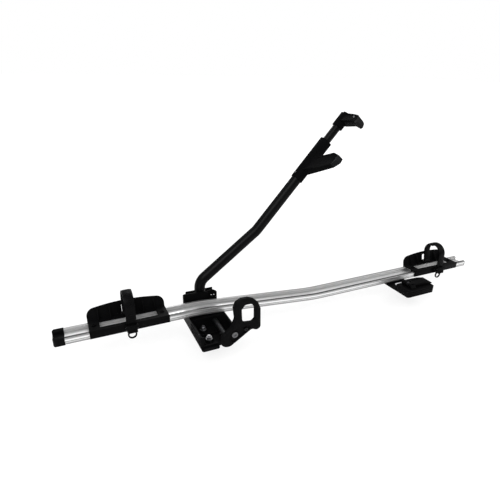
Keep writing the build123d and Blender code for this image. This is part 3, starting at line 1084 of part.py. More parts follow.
keep("rear_bracket", rear_bracket())
keep("rear_seat_pad", rear_seat_pad())
rear_slot_bolts = [slot_bolt(x, y, PAD_THICKNESS) for x, y in REAR_BOLTS]
keep("rear_tray_bolts", *[pair[0] for pair in rear_slot_bolts])
keep("rear_tray_nuts", *[pair[1] for pair in rear_slot_bolts])
keep("rear_eye_bolt", eye_bolt())
keep("rear_channel_nut", channel_nut())
keep("rear_clamp_body", rear_clamp_body())
keep("tie_rod", tie_rod())
keep("cam_pin", cam_pin())
keep("cam_lever", cam_lever())
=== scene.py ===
"""Looks for a roof mounted bike carrier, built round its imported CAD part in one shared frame.

The frame is metres, +X to the rear end of the tray, +Y to its far side and +Z up. Every class below dresses
one sub-assembly: it gives the CAD nodes their materials and adds the small pieces that CAD leaves out.
"""
import json
import logging
import math
from dataclasses import dataclass, field
from enum import Enum
from typing import Any, Callable, Dict, Iterable, List, Optional, Sequence, Tuple, Union

import bmesh
import bpy
from mathutils import Matrix, Vector

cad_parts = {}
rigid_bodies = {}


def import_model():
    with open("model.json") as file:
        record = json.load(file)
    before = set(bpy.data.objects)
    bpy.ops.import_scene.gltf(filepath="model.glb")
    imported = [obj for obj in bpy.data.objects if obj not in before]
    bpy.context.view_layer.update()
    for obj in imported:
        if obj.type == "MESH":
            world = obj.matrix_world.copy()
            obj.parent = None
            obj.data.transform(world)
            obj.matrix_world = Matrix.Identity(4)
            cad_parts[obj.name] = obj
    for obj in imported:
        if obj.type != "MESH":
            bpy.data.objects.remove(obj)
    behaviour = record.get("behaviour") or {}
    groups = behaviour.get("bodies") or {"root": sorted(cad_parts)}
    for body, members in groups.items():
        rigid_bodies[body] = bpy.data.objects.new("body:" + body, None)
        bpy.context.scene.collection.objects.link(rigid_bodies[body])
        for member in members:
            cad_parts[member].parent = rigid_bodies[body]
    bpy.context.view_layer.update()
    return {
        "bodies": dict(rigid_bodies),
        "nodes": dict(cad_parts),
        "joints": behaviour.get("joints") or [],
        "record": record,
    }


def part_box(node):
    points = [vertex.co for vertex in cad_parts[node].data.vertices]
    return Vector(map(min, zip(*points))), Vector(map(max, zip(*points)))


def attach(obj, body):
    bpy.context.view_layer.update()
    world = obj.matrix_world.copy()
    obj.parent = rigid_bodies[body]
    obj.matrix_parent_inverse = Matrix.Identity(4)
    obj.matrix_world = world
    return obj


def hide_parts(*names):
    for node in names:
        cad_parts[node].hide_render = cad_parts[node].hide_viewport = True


log = logging.getLogger("carrier")

Pair = Tuple[float, float]
Triple = Tuple[float, float, float]
Station = Tuple[Vector, Vector]
MM = 0.001
TINY = 1e-9
WHITE = (1.0, 1.0, 1.0, 1.0)


class Grain(Enum):
    """Kind of fine surface that a finish has."""

    MOULDED = "moulded"
    BRUSHED = "brushed"
    CAST = "cast"
    RUBBER = "rubber"
    # Drawn metal, whose colour also gets bands of painted shade and painted highlight.
    EXTRUDED = "extruded"


class End(Enum):
    """End of the tray that a wheel holder sits on."""

    FRONT = "front"
    REAR = "rear"


@dataclass(frozen=True)
class Finish:
    """How a surface looks.

    Args:
        name: name of the material.
        slot: material slot of the record that it stands for.
        colour: base colour, linear.
        grain: kind of fine surface.
        roughness: mean roughness.
        metallic: share of metal.
        variation: how far the colour wanders, as a share of the base colour.
        grain_size: size of the fine texture in metres.
        bump: depth of the fine texture, 0 to 1.
        specular: specular level of the surface.
        stretch: stretch of the texture along X, for drawn metal.
    """

    name: str
    slot: str
    colour: Triple
    grain: Grain
    roughness: float
    metallic: float = 0.0
    variation: float = 0.15
    grain_size: float = 0.0012
    bump: float = 0.15
    specular: float = 0.5
    stretch: float = 1.0


# Tray metal; painted shade and painted highlight bands go into its colour.
TRAY_ALUMINIUM = Finish("tray_aluminium", "tray_aluminium", (0.86, 0.86, 0.86), Grain.EXTRUDED, 0.38, 0.85,
                        0.06, 0.0007, 0.06, stretch=0.02)
TUBE_BLACK = Finish("tube_black", "tube_black", (0.0032, 0.0032, 0.0034), Grain.CAST, 0.34, 0.0,
                    0.20, 0.0011, 0.04, 0.055)
BLACK_PLASTIC = Finish("black_plastic", "black_plastic", (0.0026, 0.0026, 0.0028), Grain.MOULDED, 0.46, 0.0,
                       0.20, 0.0007, 0.08, 0.030)
GREY_PLASTIC = Finish("grey_plastic", "grey_plastic", (0.0030, 0.0030, 0.0032), Grain.MOULDED, 0.55, 0.0,
                      0.10, 0.0005, 0.04, 0.008)
STRAP_PLASTIC = Finish("strap_plastic", "strap_plastic", (0.0026, 0.0026, 0.0028), Grain.RUBBER, 0.40, 0.0,
                       0.20, 0.0005, 0.05, 0.035)
GRIP_RUBBER = Finish("grip_rubber", "grip_rubber", (0.0085, 0.0085, 0.0090), Grain.RUBBER, 0.70, 0.0,
                     0.14, 0.0006, 0.10, 0.06)
SEAT_RUBBER = Finish("seat_rubber", "seat_rubber", (0.0060, 0.0060, 0.0062), Grain.RUBBER, 0.80, 0.0,
                     0.20, 0.0008, 0.14, 0.05)
CAST_BLACK = Finish("cast_black", "cast_black", (0.0024, 0.0024, 0.0026), Grain.CAST, 0.46, 0.0,
                    0.22, 0.0009, 0.08, 0.025)
PLATED_STEEL = Finish("plated_steel", "plated_steel", (0.62, 0.62, 0.63), Grain.BRUSHED, 0.30, 1.0,
                      0.08, 0.0006, 0.06)
# Plated steel painted darker, as painted shade, for the bolts down in the front foot's pocket.
POCKET_STEEL_PAINTED_SHADE = Finish("pocket_steel_painted_shade", "plated_steel", (0.34, 0.34, 0.35), Grain.BRUSHED, 0.32, 1.0,
                    0.10, 0.0006, 0.05)
DULL_STEEL = Finish("dull_steel", "plated_steel", (0.13, 0.13, 0.135), Grain.BRUSHED, 0.34, 1.0,
                    0.10, 0.0006, 0.05)
BLACKED_STEEL = Finish("blacked_steel", "plated_steel", (0.022, 0.022, 0.024), Grain.BRUSHED, 0.40, 1.0,
                       0.12, 0.0006, 0.05)
SHAFT_STEEL = Finish("shaft_steel", "shaft_steel", (0.36, 0.36, 0.38), Grain.BRUSHED, 0.36, 1.0,
                     0.10, 0.0007, 0.06)
BLACKED_SHAFT = Finish("blacked_shaft", "shaft_steel", (0.030, 0.030, 0.032), Grain.BRUSHED, 0.42, 1.0,
                       0.12, 0.0007, 0.05)
BUSH_PLASTIC = Finish("bush_plastic", "bush_plastic", (0.012, 0.012, 0.012), Grain.MOULDED, 0.40, 0.0,
                      0.15, 0.0009, 0.08)


@dataclass(frozen=True)
class Texture:
    """Strengths that the nodes of all finishes share.

    Args:
        broad_scale: scale of the slow wander of shade and roughness.
        broad_detail: detail of that wander.
        fine_detail: detail of the fine texture.
        stops: places of the darkest and the lightest shade in the wander.
        rough_swing: how far the roughness wanders to either side.
        rough_least: least roughness.
        bump_share: height of the fine texture, as a share of its size.
        cell_share: scale of the cells in it, as a share of the texture's own.
    """

    broad_scale: float = 14.0
    broad_detail: float = 4.0
    fine_detail: float = 3.0
    stops: Pair = (0.30, 0.70)
    rough_swing: float = 0.07
    rough_least: float = 0.05
    bump_share: float = 0.4
    cell_share: float = 0.6


@dataclass(frozen=True)
class TrayPaintedShading:
    """Painted shade and painted highlight in bands on the tray, with their places in millimetres: a painted
    shadow along the top of the near rail, a painted highlight band beside it that greys towards the far rail,
    and painted highlight and shade up the near side.

    Args:
        bands: place across the tray, from its near edge, and painted shade there.
        side: height up the near side, from the tray's underside, and painted shade there.
        levels: place along the tray and level of its underside.
        near_side: place across up to which the side's shades hold.
        level_whole: level that the full white of the levels' ramp stands for.
    """

    bands: Tuple[Pair, ...] = (
        (-28.0, 0.40), (-26.0, 0.40), (-25.3, 0.09), (-16.8, 0.09), (-16.2, 1.0), (-1.0, 1.0), (8.0, 0.84),
        (15.6, 0.56), (16.4, 0.40), (24.0, 0.44), (28.0, 0.66))
    side: Tuple[Pair, ...] = ((0.0, 0.34), (6.2, 0.40), (7.2, 0.98), (14.4, 1.0), (17.2, 0.42), (20.0, 0.12))
    levels: Tuple[Pair, ...] = ((-372.0, 49.0), (-24.0, 49.0), (-4.0, 48.7), (16.0, 47.8), (36.0, 46.31),
                                (360.0, 15.66), (376.0, 14.18), (396.0, 13.28), (414.0, 13.0), (1066.0, 13.0))
    near_side: float = -26.3
    level_whole: float = 100.0


def add_node(tree: bpy.types.NodeTree, kind: str, feeds: Optional[Dict[Union[str, int], Any]] = None,
             **settings: Any) -> bpy.types.Node:
    """Adds a node to a tree.

    Args:
        tree: node tree.
        kind: type of the node.
        feeds: what goes into its inputs, each a socket to link or a plain value.
        settings: its settings, made before its inputs are fed.

    Returns:
        The new node.
    """
    node = tree.nodes.new(kind)
    for name, value in settings.items():
        setattr(node, name, value)
    for entry, value in (feeds or {}).items():
        if isinstance(value, bpy.types.NodeSocket):
            tree.links.new(value, node.inputs[entry])
        else:
            node.inputs[entry].default_value = value
    return node


def maths(tree: bpy.types.NodeTree, operation: str, first: Any, second: Any) -> bpy.types.NodeSocket:
    """Output of a sum on two sockets or numbers."""
    return add_node(tree, "ShaderNodeMath", {0: first, 1: second}, operation=operation).outputs["Value"]


def table_ramp(tree: bpy.types.NodeTree, value: bpy.types.NodeSocket, table: Sequence[Pair],
               whole: float = 1.0) -> bpy.types.NodeSocket:
    """Line through a table, as a grey colour.

    Args:
        tree: node tree of the material.
        value: length in metres that the table is read at.
        table: pairs of millimetres and of what they give.
        whole: what the ramp's full white stands for.

    Returns:
        Colour output, the table's value over the whole.
    """
    first, last = table[0][0], table[-1][0]
    place = add_node(tree, "ShaderNodeMapRange", {
        "Value": value,
        "From Min": first * MM,
        "From Max": last * MM,
    })
    node = add_node(tree, "ShaderNodeValToRGB", {"Fac": place.outputs["Result"]})
    ramp = node.color_ramp
    for index, (length, height) in enumerate(table):
        position = (length - first) / (last - first)
        stop = ramp.elements[index] if index < 2 else ramp.elements.new(position)
        stop.position = position
        stop.color = (height / whole, height / whole, height / whole, 1.0)
    return node.outputs["Color"]


@dataclass
class MaterialBook:
    """Builds each finish once, as a procedural material in object coordinates.

    Args:
        texture: strengths that all finishes share.
        shades: painted shade and painted highlight of the tray's bands.
        made: materials made so far, by name.
    """

    texture: Texture = Texture()
    shades: TrayPaintedShading = TrayPaintedShading()
    made: Dict[str, bpy.types.Material] = field(default_factory=dict)

    def get(self, finish: Finish) -> bpy.types.Material:
        """Material of a finish.

        Args:
            finish: what the surface looks like.

        Returns:
            The material, made on first use.
        """
        if finish.name not in self.made:
            self.made[finish.name] = self._build(finish)
            log.info("material %s", finish.name)
        return self.made[finish.name]

    def _build(self, finish: Finish) -> bpy.types.Material:
        """New node material of a finish.

        Args:
            finish: what the surface looks like.

        Returns:
            The material.
        """
        texture = self.texture
        material = bpy.data.materials.new(finish.name)
        material.use_nodes = True
        tree = material.node_tree
        tree.nodes.clear()
        coords = add_node(tree, "ShaderNodeTexCoord").outputs["Object"]
        drawn = add_node(tree, "ShaderNodeMapping", {
            "Vector": coords,
            "Scale": (finish.stretch, 1.0, 1.0),
        }).outputs["Vector"]
        fine, broad = (
            add_node(tree, "ShaderNodeTexNoise", {"Vector": drawn, "Scale": scale, "Detail": detail})
            for scale, detail in ((1.0 / finish.grain_size, texture.fine_detail),
                                  (texture.broad_scale, texture.broad_detail)))
        shades = add_node(tree, "ShaderNodeValToRGB", {"Fac": broad.outputs["Fac"]})
        for stop, place, sign in zip(shades.color_ramp.elements, texture.stops, (-1.0, 1.0)):
            stop.position = place
            stop.color = (*(min(1.0, c * (1.0 + sign * finish.variation)) for c in finish.colour), 1.0)
        colour = shades.outputs["Color"]
        # The tray's colour gets painted shade and painted highlight bands.
        if finish.grain is Grain.EXTRUDED:
            colour = self._painted_shading_bands(tree, coords, colour)
        rough = add_node(tree, "ShaderNodeMapRange", {
            "Value": broad.outputs["Fac"],
            "To Min": max(texture.rough_least, finish.roughness - texture.rough_swing),
            "To Max": min(1.0, finish.roughness + texture.rough_swing),
        })
        height = fine.outputs["Fac"]
        if finish.grain in (Grain.MOULDED, Grain.CAST, Grain.RUBBER):
            cells = add_node(tree, "ShaderNodeTexVoronoi", {
                "Vector": drawn,
                "Scale": texture.cell_share / finish.grain_size,
            })
            height = maths(tree, "ADD", cells.outputs["Distance"], height)
        bump = add_node(tree, "ShaderNodeBump", {
            "Height": height,
            "Strength": finish.bump,
            "Distance": finish.grain_size * texture.bump_share,
        })
        shader = add_node(tree, "ShaderNodeBsdfPrincipled", {
            "Base Color": colour,
            "Metallic": finish.metallic,
            "Specular IOR Level": finish.specular,
            "Roughness": rough.outputs["Result"],
            "Normal": bump.outputs["Normal"],
        })
        add_node(tree, "ShaderNodeOutputMaterial", {"Surface": shader.outputs["BSDF"]})
        return material

    def _painted_shading_bands(self, tree: bpy.types.NodeTree, coords: bpy.types.NodeSocket,
                 base: bpy.types.NodeSocket) -> bpy.types.NodeSocket:
        """Colour of the tray with painted shade and painted highlight, banded across its top and up its near
        side.

        Args:
            tree: node tree of the material.
            coords: object coordinates.
            base: colour that is banded with painted shade.

        Returns:
            Colour output.
        """
        # Painted shade and highlight: bands across the top, and bands up the near side by height over the
        # underside.
        split = add_node(tree, "ShaderNodeSeparateXYZ", {"Vector": coords}).outputs
        whole = self.shades.level_whole
        level = maths(tree, "MULTIPLY", table_ramp(tree, split["X"], self.shades.levels, whole), whole * MM)
        height = maths(tree, "SUBTRACT", split["Z"], level)
        shade = add_node(tree, "ShaderNodeMix", {
            "Factor": maths(tree, "LESS_THAN", split["Y"], self.shades.near_side * MM),
            6: table_ramp(tree, split["Y"], self.shades.bands),
            7: table_ramp(tree, height, self.shades.side),
        }, data_type="RGBA")
        mix = add_node(tree, "ShaderNodeMix", {"Factor": 1.0, 6: base, 7: shade.outputs[2]},
                       data_type="RGBA", blend_type="MULTIPLY")
        return mix.outputs[2]


def linked(name: str, data: Any) -> bpy.types.Object:
    """New object in the scene.

    Args:
        name: object name.
        data: its mesh, light or camera.

    Returns:
        The object.
    """
    obj = bpy.data.objects.new(name, data)
    bpy.context.scene.collection.objects.link(obj)
    return obj


def finished(name: str, work: bmesh.types.BMesh,
             material: Optional[bpy.types.Material] = None) -> bpy.types.Object:
    """Object of a worked mesh, which is freed.

    Args:
        name: name of the mesh and the object.
        work: the worked mesh, in the object's frame.
        material: its material, if it has one yet.

    Returns:
        The object.
    """
    mesh = bpy.data.meshes.new(name)
    work.to_mesh(mesh)
    work.free()
    if material is not None:
        mesh.materials.append(material)
    return linked(name, mesh)


def smooth_by_angle(obj: bpy.types.Object, degrees: float = 32.0) -> None:
    """Smooth shading that keeps the sharper edges.

    Args:
        obj: mesh object.
        degrees: edges that turn more than this stay sharp.
    """
    work = bmesh.new()
    work.from_mesh(obj.data)
    limit = math.radians(degrees)
    for face in work.faces:
        face.smooth = True
    for edge in work.edges:
        edge.smooth = len(edge.link_faces) == 2 and edge.calc_face_angle(math.pi) < limit
    work.to_mesh(obj.data)
    work.free()


def basis(origin: Vector, normal: Vector, along: Vector) -> Matrix:
    """Matrix that carries a piece to its place.

    Args:
        origin: where its origin goes, in metres.
        normal: way that its Z points.
        along: way that its X points.

    Returns:
        The matrix.
    """
    z = normal.normalized()
    x = (along - z * along.dot(z)).normalized()
    return Matrix.Translation(origin) @ Matrix((x, z.cross(x), z)).transposed().to_4x4()


def bar(name: str, size: Triple, edge: float) -> bpy.types.Object:
    """Bar with bevelled edges that stands on its origin.

    Args:
        name: object name.
        size: lengths along X, Y and Z in millimetres.
        edge: width of the bevel in millimetres.

    Returns:
        The shape, to be repeated and then removed.
    """
    work = bmesh.new()
    bmesh.ops.create_cube(work, size=1.0)
    for vert in work.verts:
        vert.co = Vector((vert.co.x * size[0], vert.co.y * size[1], (vert.co.z + 0.5) * size[2])) * MM
    upper = [e for e in work.edges if any(v.co.z > size[2] * MM / 2 for v in e.verts)]
    bmesh.ops.bevel(work, geom=upper, offset=edge * MM, segments=2, affect="EDGES", profile=0.5)
    return finished(name, work)


def fillet_path(points: Sequence[Pair], radius: float, steps: int = 12) -> List[Pair]:
    """Open line through points with its corners rounded.

    Args:
        points: ends and corners of the line.
        radius: radius of every corner.
        steps: steps round a corner.

    Returns:
        Points of the rounded line.
    """
    path = [points[0]]
    for before, corner, after in zip(points, points[1:], points[2:]):
        back = (Vector(before) - Vector(corner)).normalized()
        ahead = (Vector(after) - Vector(corner)).normalized()
        half = math.acos(max(-1.0, min(1.0, back.dot(ahead)))) / 2
        reach = radius / math.tan(half)
        centre = Vector(corner) + (back + ahead).normalized() * (radius / math.sin(half))
        start = Vector(corner) + back * reach - centre
        end = Vector(corner) + ahead * reach - centre
        turn = start.angle_signed(end)
        for i in range(steps + 1):
            angle = -turn * i / steps
            cos_a, sin_a = math.cos(angle), math.sin(angle)
            path.append((centre.x + start.x * cos_a - start.y * sin_a,
                         centre.y + start.x * sin_a + start.y * cos_a))
    path.append(points[-1])
    return path


def stations(path: Sequence[Pair], pitch: float, skip: float, stop: float) -> List[Station]:
    """Points at equal steps along a line, each with the line's direction.

    Args:
        path: points of the line.
        pitch: step.
        skip: length left out at the start.
        stop: length left out at the end.

    Returns:
        Pairs of point and unit direction.
    """
    found: List[Station] = []
    total = sum((Vector(b) - Vector(a)).length for a, b in zip(path, path[1:]))
    target, done = skip, 0.0
    for a, b in zip(path, path[1:]):
        start, way = Vector(a), Vector(b) - Vector(a)
        length = way.length
        if length < TINY:
            continue
        while target <= done + length and target <= total - stop:
            found.append((start + way * ((target - done) / length), way / length))
            target += pitch
        done += length
    return found


def eased(value: float, start: float, run: float) -> float:
    """Share of a run that a value has passed, from 0 before it to 1 past it."""
    return min(1.0, max(0.0, (value - start) / run))


@dataclass(frozen=True)
class Spot:
    """Place of one repeated piece.

    Args:
        at: point in metres.
        facing: way that its local Z points.
        along: way that its local X points.
    """

    at: Triple
    facing: Triple
    along: Triple = (1.0, 0.0, 0.0)


def instance_tree(name: str) -> bpy.types.NodeTree:
    """Geometry Nodes tree that sets a mesh on every point of an object, turned by the points' attributes.

    Its named inputs are the mesh to repeat, its size and its material. It ends in Realize Instances and
    Set Material.

    Args:
        name: name of the tree.

    Returns:
        The tree.
    """
    tree = bpy.data.node_groups.new(name, "GeometryNodeTree")
    for label, way, kind in (("Geometry", "INPUT", "Geometry"), ("Shape", "INPUT", "Object"),
                             ("Size", "INPUT", "Float"), ("Material", "INPUT", "Material"),
                             ("Geometry", "OUTPUT", "Geometry")):
        tree.interface.new_socket(label, in_out=way, socket_type="NodeSocket" + kind)
    given = add_node(tree, "NodeGroupInput").outputs
    facing, along = (
        add_node(tree, "GeometryNodeInputNamedAttribute", {"Name": label}, data_type="FLOAT_VECTOR")
        for label in ("facing", "along"))
    upright = add_node(tree, "FunctionNodeAlignRotationToVector",
                       {"Vector": facing.outputs["Attribute"]}, axis="Z")
    turned = add_node(tree, "FunctionNodeAlignRotationToVector", {
        "Rotation": upright.outputs["Rotation"],
        "Vector": along.outputs["Attribute"],
    }, axis="X", pivot_axis="Z")
    copies = add_node(tree, "GeometryNodeInstanceOnPoints", {
        "Points": given["Geometry"],
        "Instance": add_node(tree, "GeometryNodeObjectInfo", {"Object": given["Shape"]}).outputs["Geometry"],
        "Rotation": turned.outputs["Rotation"],
        "Scale": given["Size"],
    })
    solid = add_node(tree, "GeometryNodeRealizeInstances", {"Geometry": copies.outputs["Instances"]})
    paint = add_node(tree, "GeometryNodeSetMaterial", {
        "Geometry": solid.outputs["Geometry"],
        "Material": given["Material"],
    })
    add_node(tree, "NodeGroupOutput", {"Geometry": paint.outputs["Geometry"]})
    return tree


class Repeater:
    """Sets small shapes on lists of spots with Geometry Nodes and turns each result into a plain mesh."""

    def __init__(self) -> None:
        """Builds the tree that all repeats share."""
        self._tree = instance_tree("repeat_on_spots")

    def _socket(self, label: str) -> str:
        """Identifier of one of the tree's inputs.

        Args:
            label: name of the input.

        Returns:
            The identifier, which a modifier's input is set by.
        """
        for item in self._tree.interface.items_tree:
            if item.name == label and getattr(item, "in_out", "") == "INPUT":
                return item.identifier
        raise KeyError(label)

    def lay(self, name: str, shape: bpy.types.Object, spots: Iterable[Spot], body: str,
            material: bpy.types.Material, slot: str) -> bpy.types.Object:
        """Repeats a shape.

        Args:
            name: object name.
            shape: local shape, with Z as its outward axis; the caller removes it.
            spots: where it goes.
            body: CAD body that the pieces ride on.
            material: their material.
            slot: their slot in the record; not used.

        Returns:
            One plain mesh object with all the copies.
        """
        spots = list(spots)
        mesh = bpy.data.meshes.new(name + "_spots")
        mesh.from_pydata([spot.at for spot in spots], [], [])
        for label in ("facing", "along"):
            layer = mesh.attributes.new(label, "FLOAT_VECTOR", "POINT")
            for i, spot in enumerate(spots):
                layer.data[i].vector = Vector(getattr(spot, label)).normalized()
        carrier = linked(name + "_spots", mesh)
        modifier = carrier.modifiers.new("repeat", "NODES")
        modifier.node_group = self._tree
        for label, value in (("Shape", shape), ("Size", 1.0), ("Material", material)):
            modifier[self._socket(label)] = value
        bpy.context.view_layer.update()
        graph = bpy.context.evaluated_depsgraph_get()
        result = bpy.data.meshes.new_from_object(carrier.evaluated_get(graph))
        result.name = name
        bpy.data.objects.remove(carrier)
        obj = linked(name, result)
        smooth_by_angle(obj)
        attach(obj, body)
        log.info("%s: %d copies on %s", name, len(spots), body)
        return obj


@dataclass
class Dresser:
    """What every sub-assembly shares.

    Args:
        frame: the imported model, with its nodes.
        book: the materials.
        repeater: what sets small shapes on spots.
    """

    frame: Dict[str, Any]
    book: MaterialBook
    repeater: Repeater

    def paint(self, finish: Finish, *nodes: str) -> None:
        """Gives CAD nodes a finish.

        Args:
            finish: what their surface looks like.
            nodes: CAD nodes.
        """
        for node in nodes:
            obj = self.frame["nodes"][node]
            obj.data.materials.clear()
            obj.data.materials.append(self.book.get(finish))
            log.info("%s painted %s", node, finish.name)

    def soften(self, finish: Finish, node: str, body: str, width: float,
               segments: int = 2) -> bpy.types.Object:
        """Stands a copy with rounded edges in for a CAD node, so that its edges catch the light.

        Args:
            finish: what the surface looks like.
            node: CAD node.
            body: CAD body that carries it.
            width: width of the rounding in millimetres.
            segments: steps of the rounding.

        Returns:
            The stand-in.
        """
        least_bend, sharp_bend, shaded_bend, merge = 1.0, 34.0, 38.0, 0.002
        work = bmesh.new()
        work.from_mesh(self.frame["nodes"][node].data)
        bmesh.ops.remove_doubles(work, verts=work.verts, dist=merge * MM)
        bmesh.ops.dissolve_limit(work, angle_limit=math.radians(least_bend),
                                 verts=work.verts, edges=work.edges)
        sharp = [edge for edge in work.edges
                 if len(edge.link_faces) == 2 and edge.calc_face_angle(0.0) > math.radians(sharp_bend)]
        bmesh.ops.bevel(work, geom=sharp, offset=width * MM, segments=segments, affect="EDGES", profile=0.5,
                        clamp_overlap=True, offset_type="OFFSET")
        bmesh.ops.triangulate(work, faces=[face for face in work.faces if len(face.verts) > 4])
        obj = finished(node + "_soft", work, self.book.get(finish))
        smooth_by_angle(obj, shaded_bend)
        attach(obj, body)
        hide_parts(node)
        log.info("%s softened, %d faces", node, len(obj.data.polygons))
        return obj

    def turn(self, finish: Finish, name: str, body: str, profile_shares: Sequence[Pair], radius: float,
             place: Matrix, segments: int) -> None:
        """Adds a turned piece, such as the head of a screw.

        Args:
            finish: what the surface looks like.
            name: name of the piece.
            body: CAD body that it rides on.
            profile_shares: pairs of a share of the radius and a height in millimetres, from axis to axis.
            radius: radius in millimetres.
            place: matrix that carries it to its place.
            segments: steps round the axis.
        """
        work = bmesh.new()
        rings = []
        for share, height in profile_shares:
            reach = share * radius * MM
            turns = [math.tau * i / segments for i in range(segments if share else 1)]
            points = [Vector((reach * math.cos(turn), reach * math.sin(turn), height * MM)) for turn in turns]
            rings.append([work.verts.new(place @ point) for point in points])
        for lower, upper in zip(rings, rings[1:]):
            for i in range(segments):
                j = (i + 1) % segments
                corners = tuple(dict.fromkeys((lower[i % len(lower)], lower[j % len(lower)],
                                               upper[j % len(upper)], upper[i % len(upper)])))
                if len(corners) >= 3:
                    work.faces.new(corners)
        bmesh.ops.recalc_face_normals(work, faces=work.faces)
        piece = finished(name, work, self.book.get(finish))
        smooth_by_angle(piece)
        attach(piece, body)
        log.info("%s turned on %s", name, body)


@dataclass
class Tray(Dresser):
    """Wheel tray with its end pieces.

    Args:
        cap_edge: rounding of the front end cap in millimetres.
    """

    cap_edge: float = 1.6

    def dress(self) -> None:
        """Paints the tray and its end pieces."""
        self.paint(TRAY_ALUMINIUM, "near_rail", "far_rail", "tray_web")
        self.paint(BLACK_PLASTIC, "rear_end_plug")
        self.soften(BLACK_PLASTIC, "front_end_cap", "carrier", self.cap_edge, 3)


@dataclass
class FrontFoot(Dresser):
    """Open moulded foot, its hinge block, bolts and lock, in millimetres.

    Args:
        housing_edge: rounding of the housing.
        block_edge: rounding of the hinge block.
        wall_front: the block's front wall lies before this place along the tray.
        wall_start: place across where its slope starts.
        wall_foot: level over which its points are lowered.
        wall_drop: drop where the slope starts.
        wall_slope_share: more drop for each millimetre across.
        pin_radius: radius of the pins on the lock.
        pin_spread: distance of each pin from the lock's middle.
        pin_profile_shares: profile of a pin, in shares of its radius and in heights.
    """

    housing_edge: float = 0.8
    block_edge: float = 0.6
    wall_front: float = -26.2
    wall_start: float = 37.0
    wall_foot: float = 82.0
    wall_drop: float = 1.2
    wall_slope_share: float = 0.6
    pin_radius: float = 1.6
    pin_spread: float = 4.2
    pin_profile_shares: Tuple[Pair, ...] = ((0.0, -1.0), (1.0, -1.0), (1.0, 0.4), (0.7, 0.9), (0.0, 1.1))

    def dress(self) -> None:
        """Paints the foot and its metal."""
        self.soften(BLACK_PLASTIC, "base_housing", "carrier", self.housing_edge)
        self.paint(BLACK_PLASTIC, "tray_saddle")
        self.paint(SEAT_RUBBER, "front_seat_pad")
        self._lower_wall(self.soften(CAST_BLACK, "hinge_block", "carrier", self.block_edge))
        self.paint(BUSH_PLASTIC, "shaft_bushes")
        self.paint(PLATED_STEEL, "front_tray_bolts", "front_tray_nuts")
        # The darker steel here is painted shade on the bolts down in the pocket.
        self.paint(POCKET_STEEL_PAINTED_SHADE, "front_t_bolts", "front_bolt_washers", "front_bolt_nuts")
        self.paint(CAST_BLACK, "lock_barrel")
        self._lock_pins()

    def _lower_wall(self, block: bpy.types.Object) -> None:
        """Slopes the top of the hinge block's front wall down from the near cheek, as photographed.

        Args:
            block: stand-in of the hinge block.
        """
        for vert in block.data.vertices:
            x, y, z = vert.co
            if x < self.wall_front * MM and y > self.wall_start * MM and z > self.wall_foot * MM:
                vert.co.z -= self.wall_drop * MM + (y - self.wall_start * MM) * self.wall_slope_share
        block.data.update()

    def _lock_pins(self) -> None:
        """Two bright pins on the face of the lock, either side of its keyway."""
        low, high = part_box("lock_barrel")
        middle = (Vector(low) + Vector(high)) / 2
        for name, side in (("lock_pin_left", -1), ("lock_pin_right", 1)):
            origin = Vector((middle.x + side * self.pin_spread * MM, low[1], middle.z))
            place = basis(origin, Vector((0, -1, 0)), Vector((1, 0, 0)))
            self.turn(PLATED_STEEL, name, "lock", self.pin_profile_shares, self.pin_radius, place, 14)


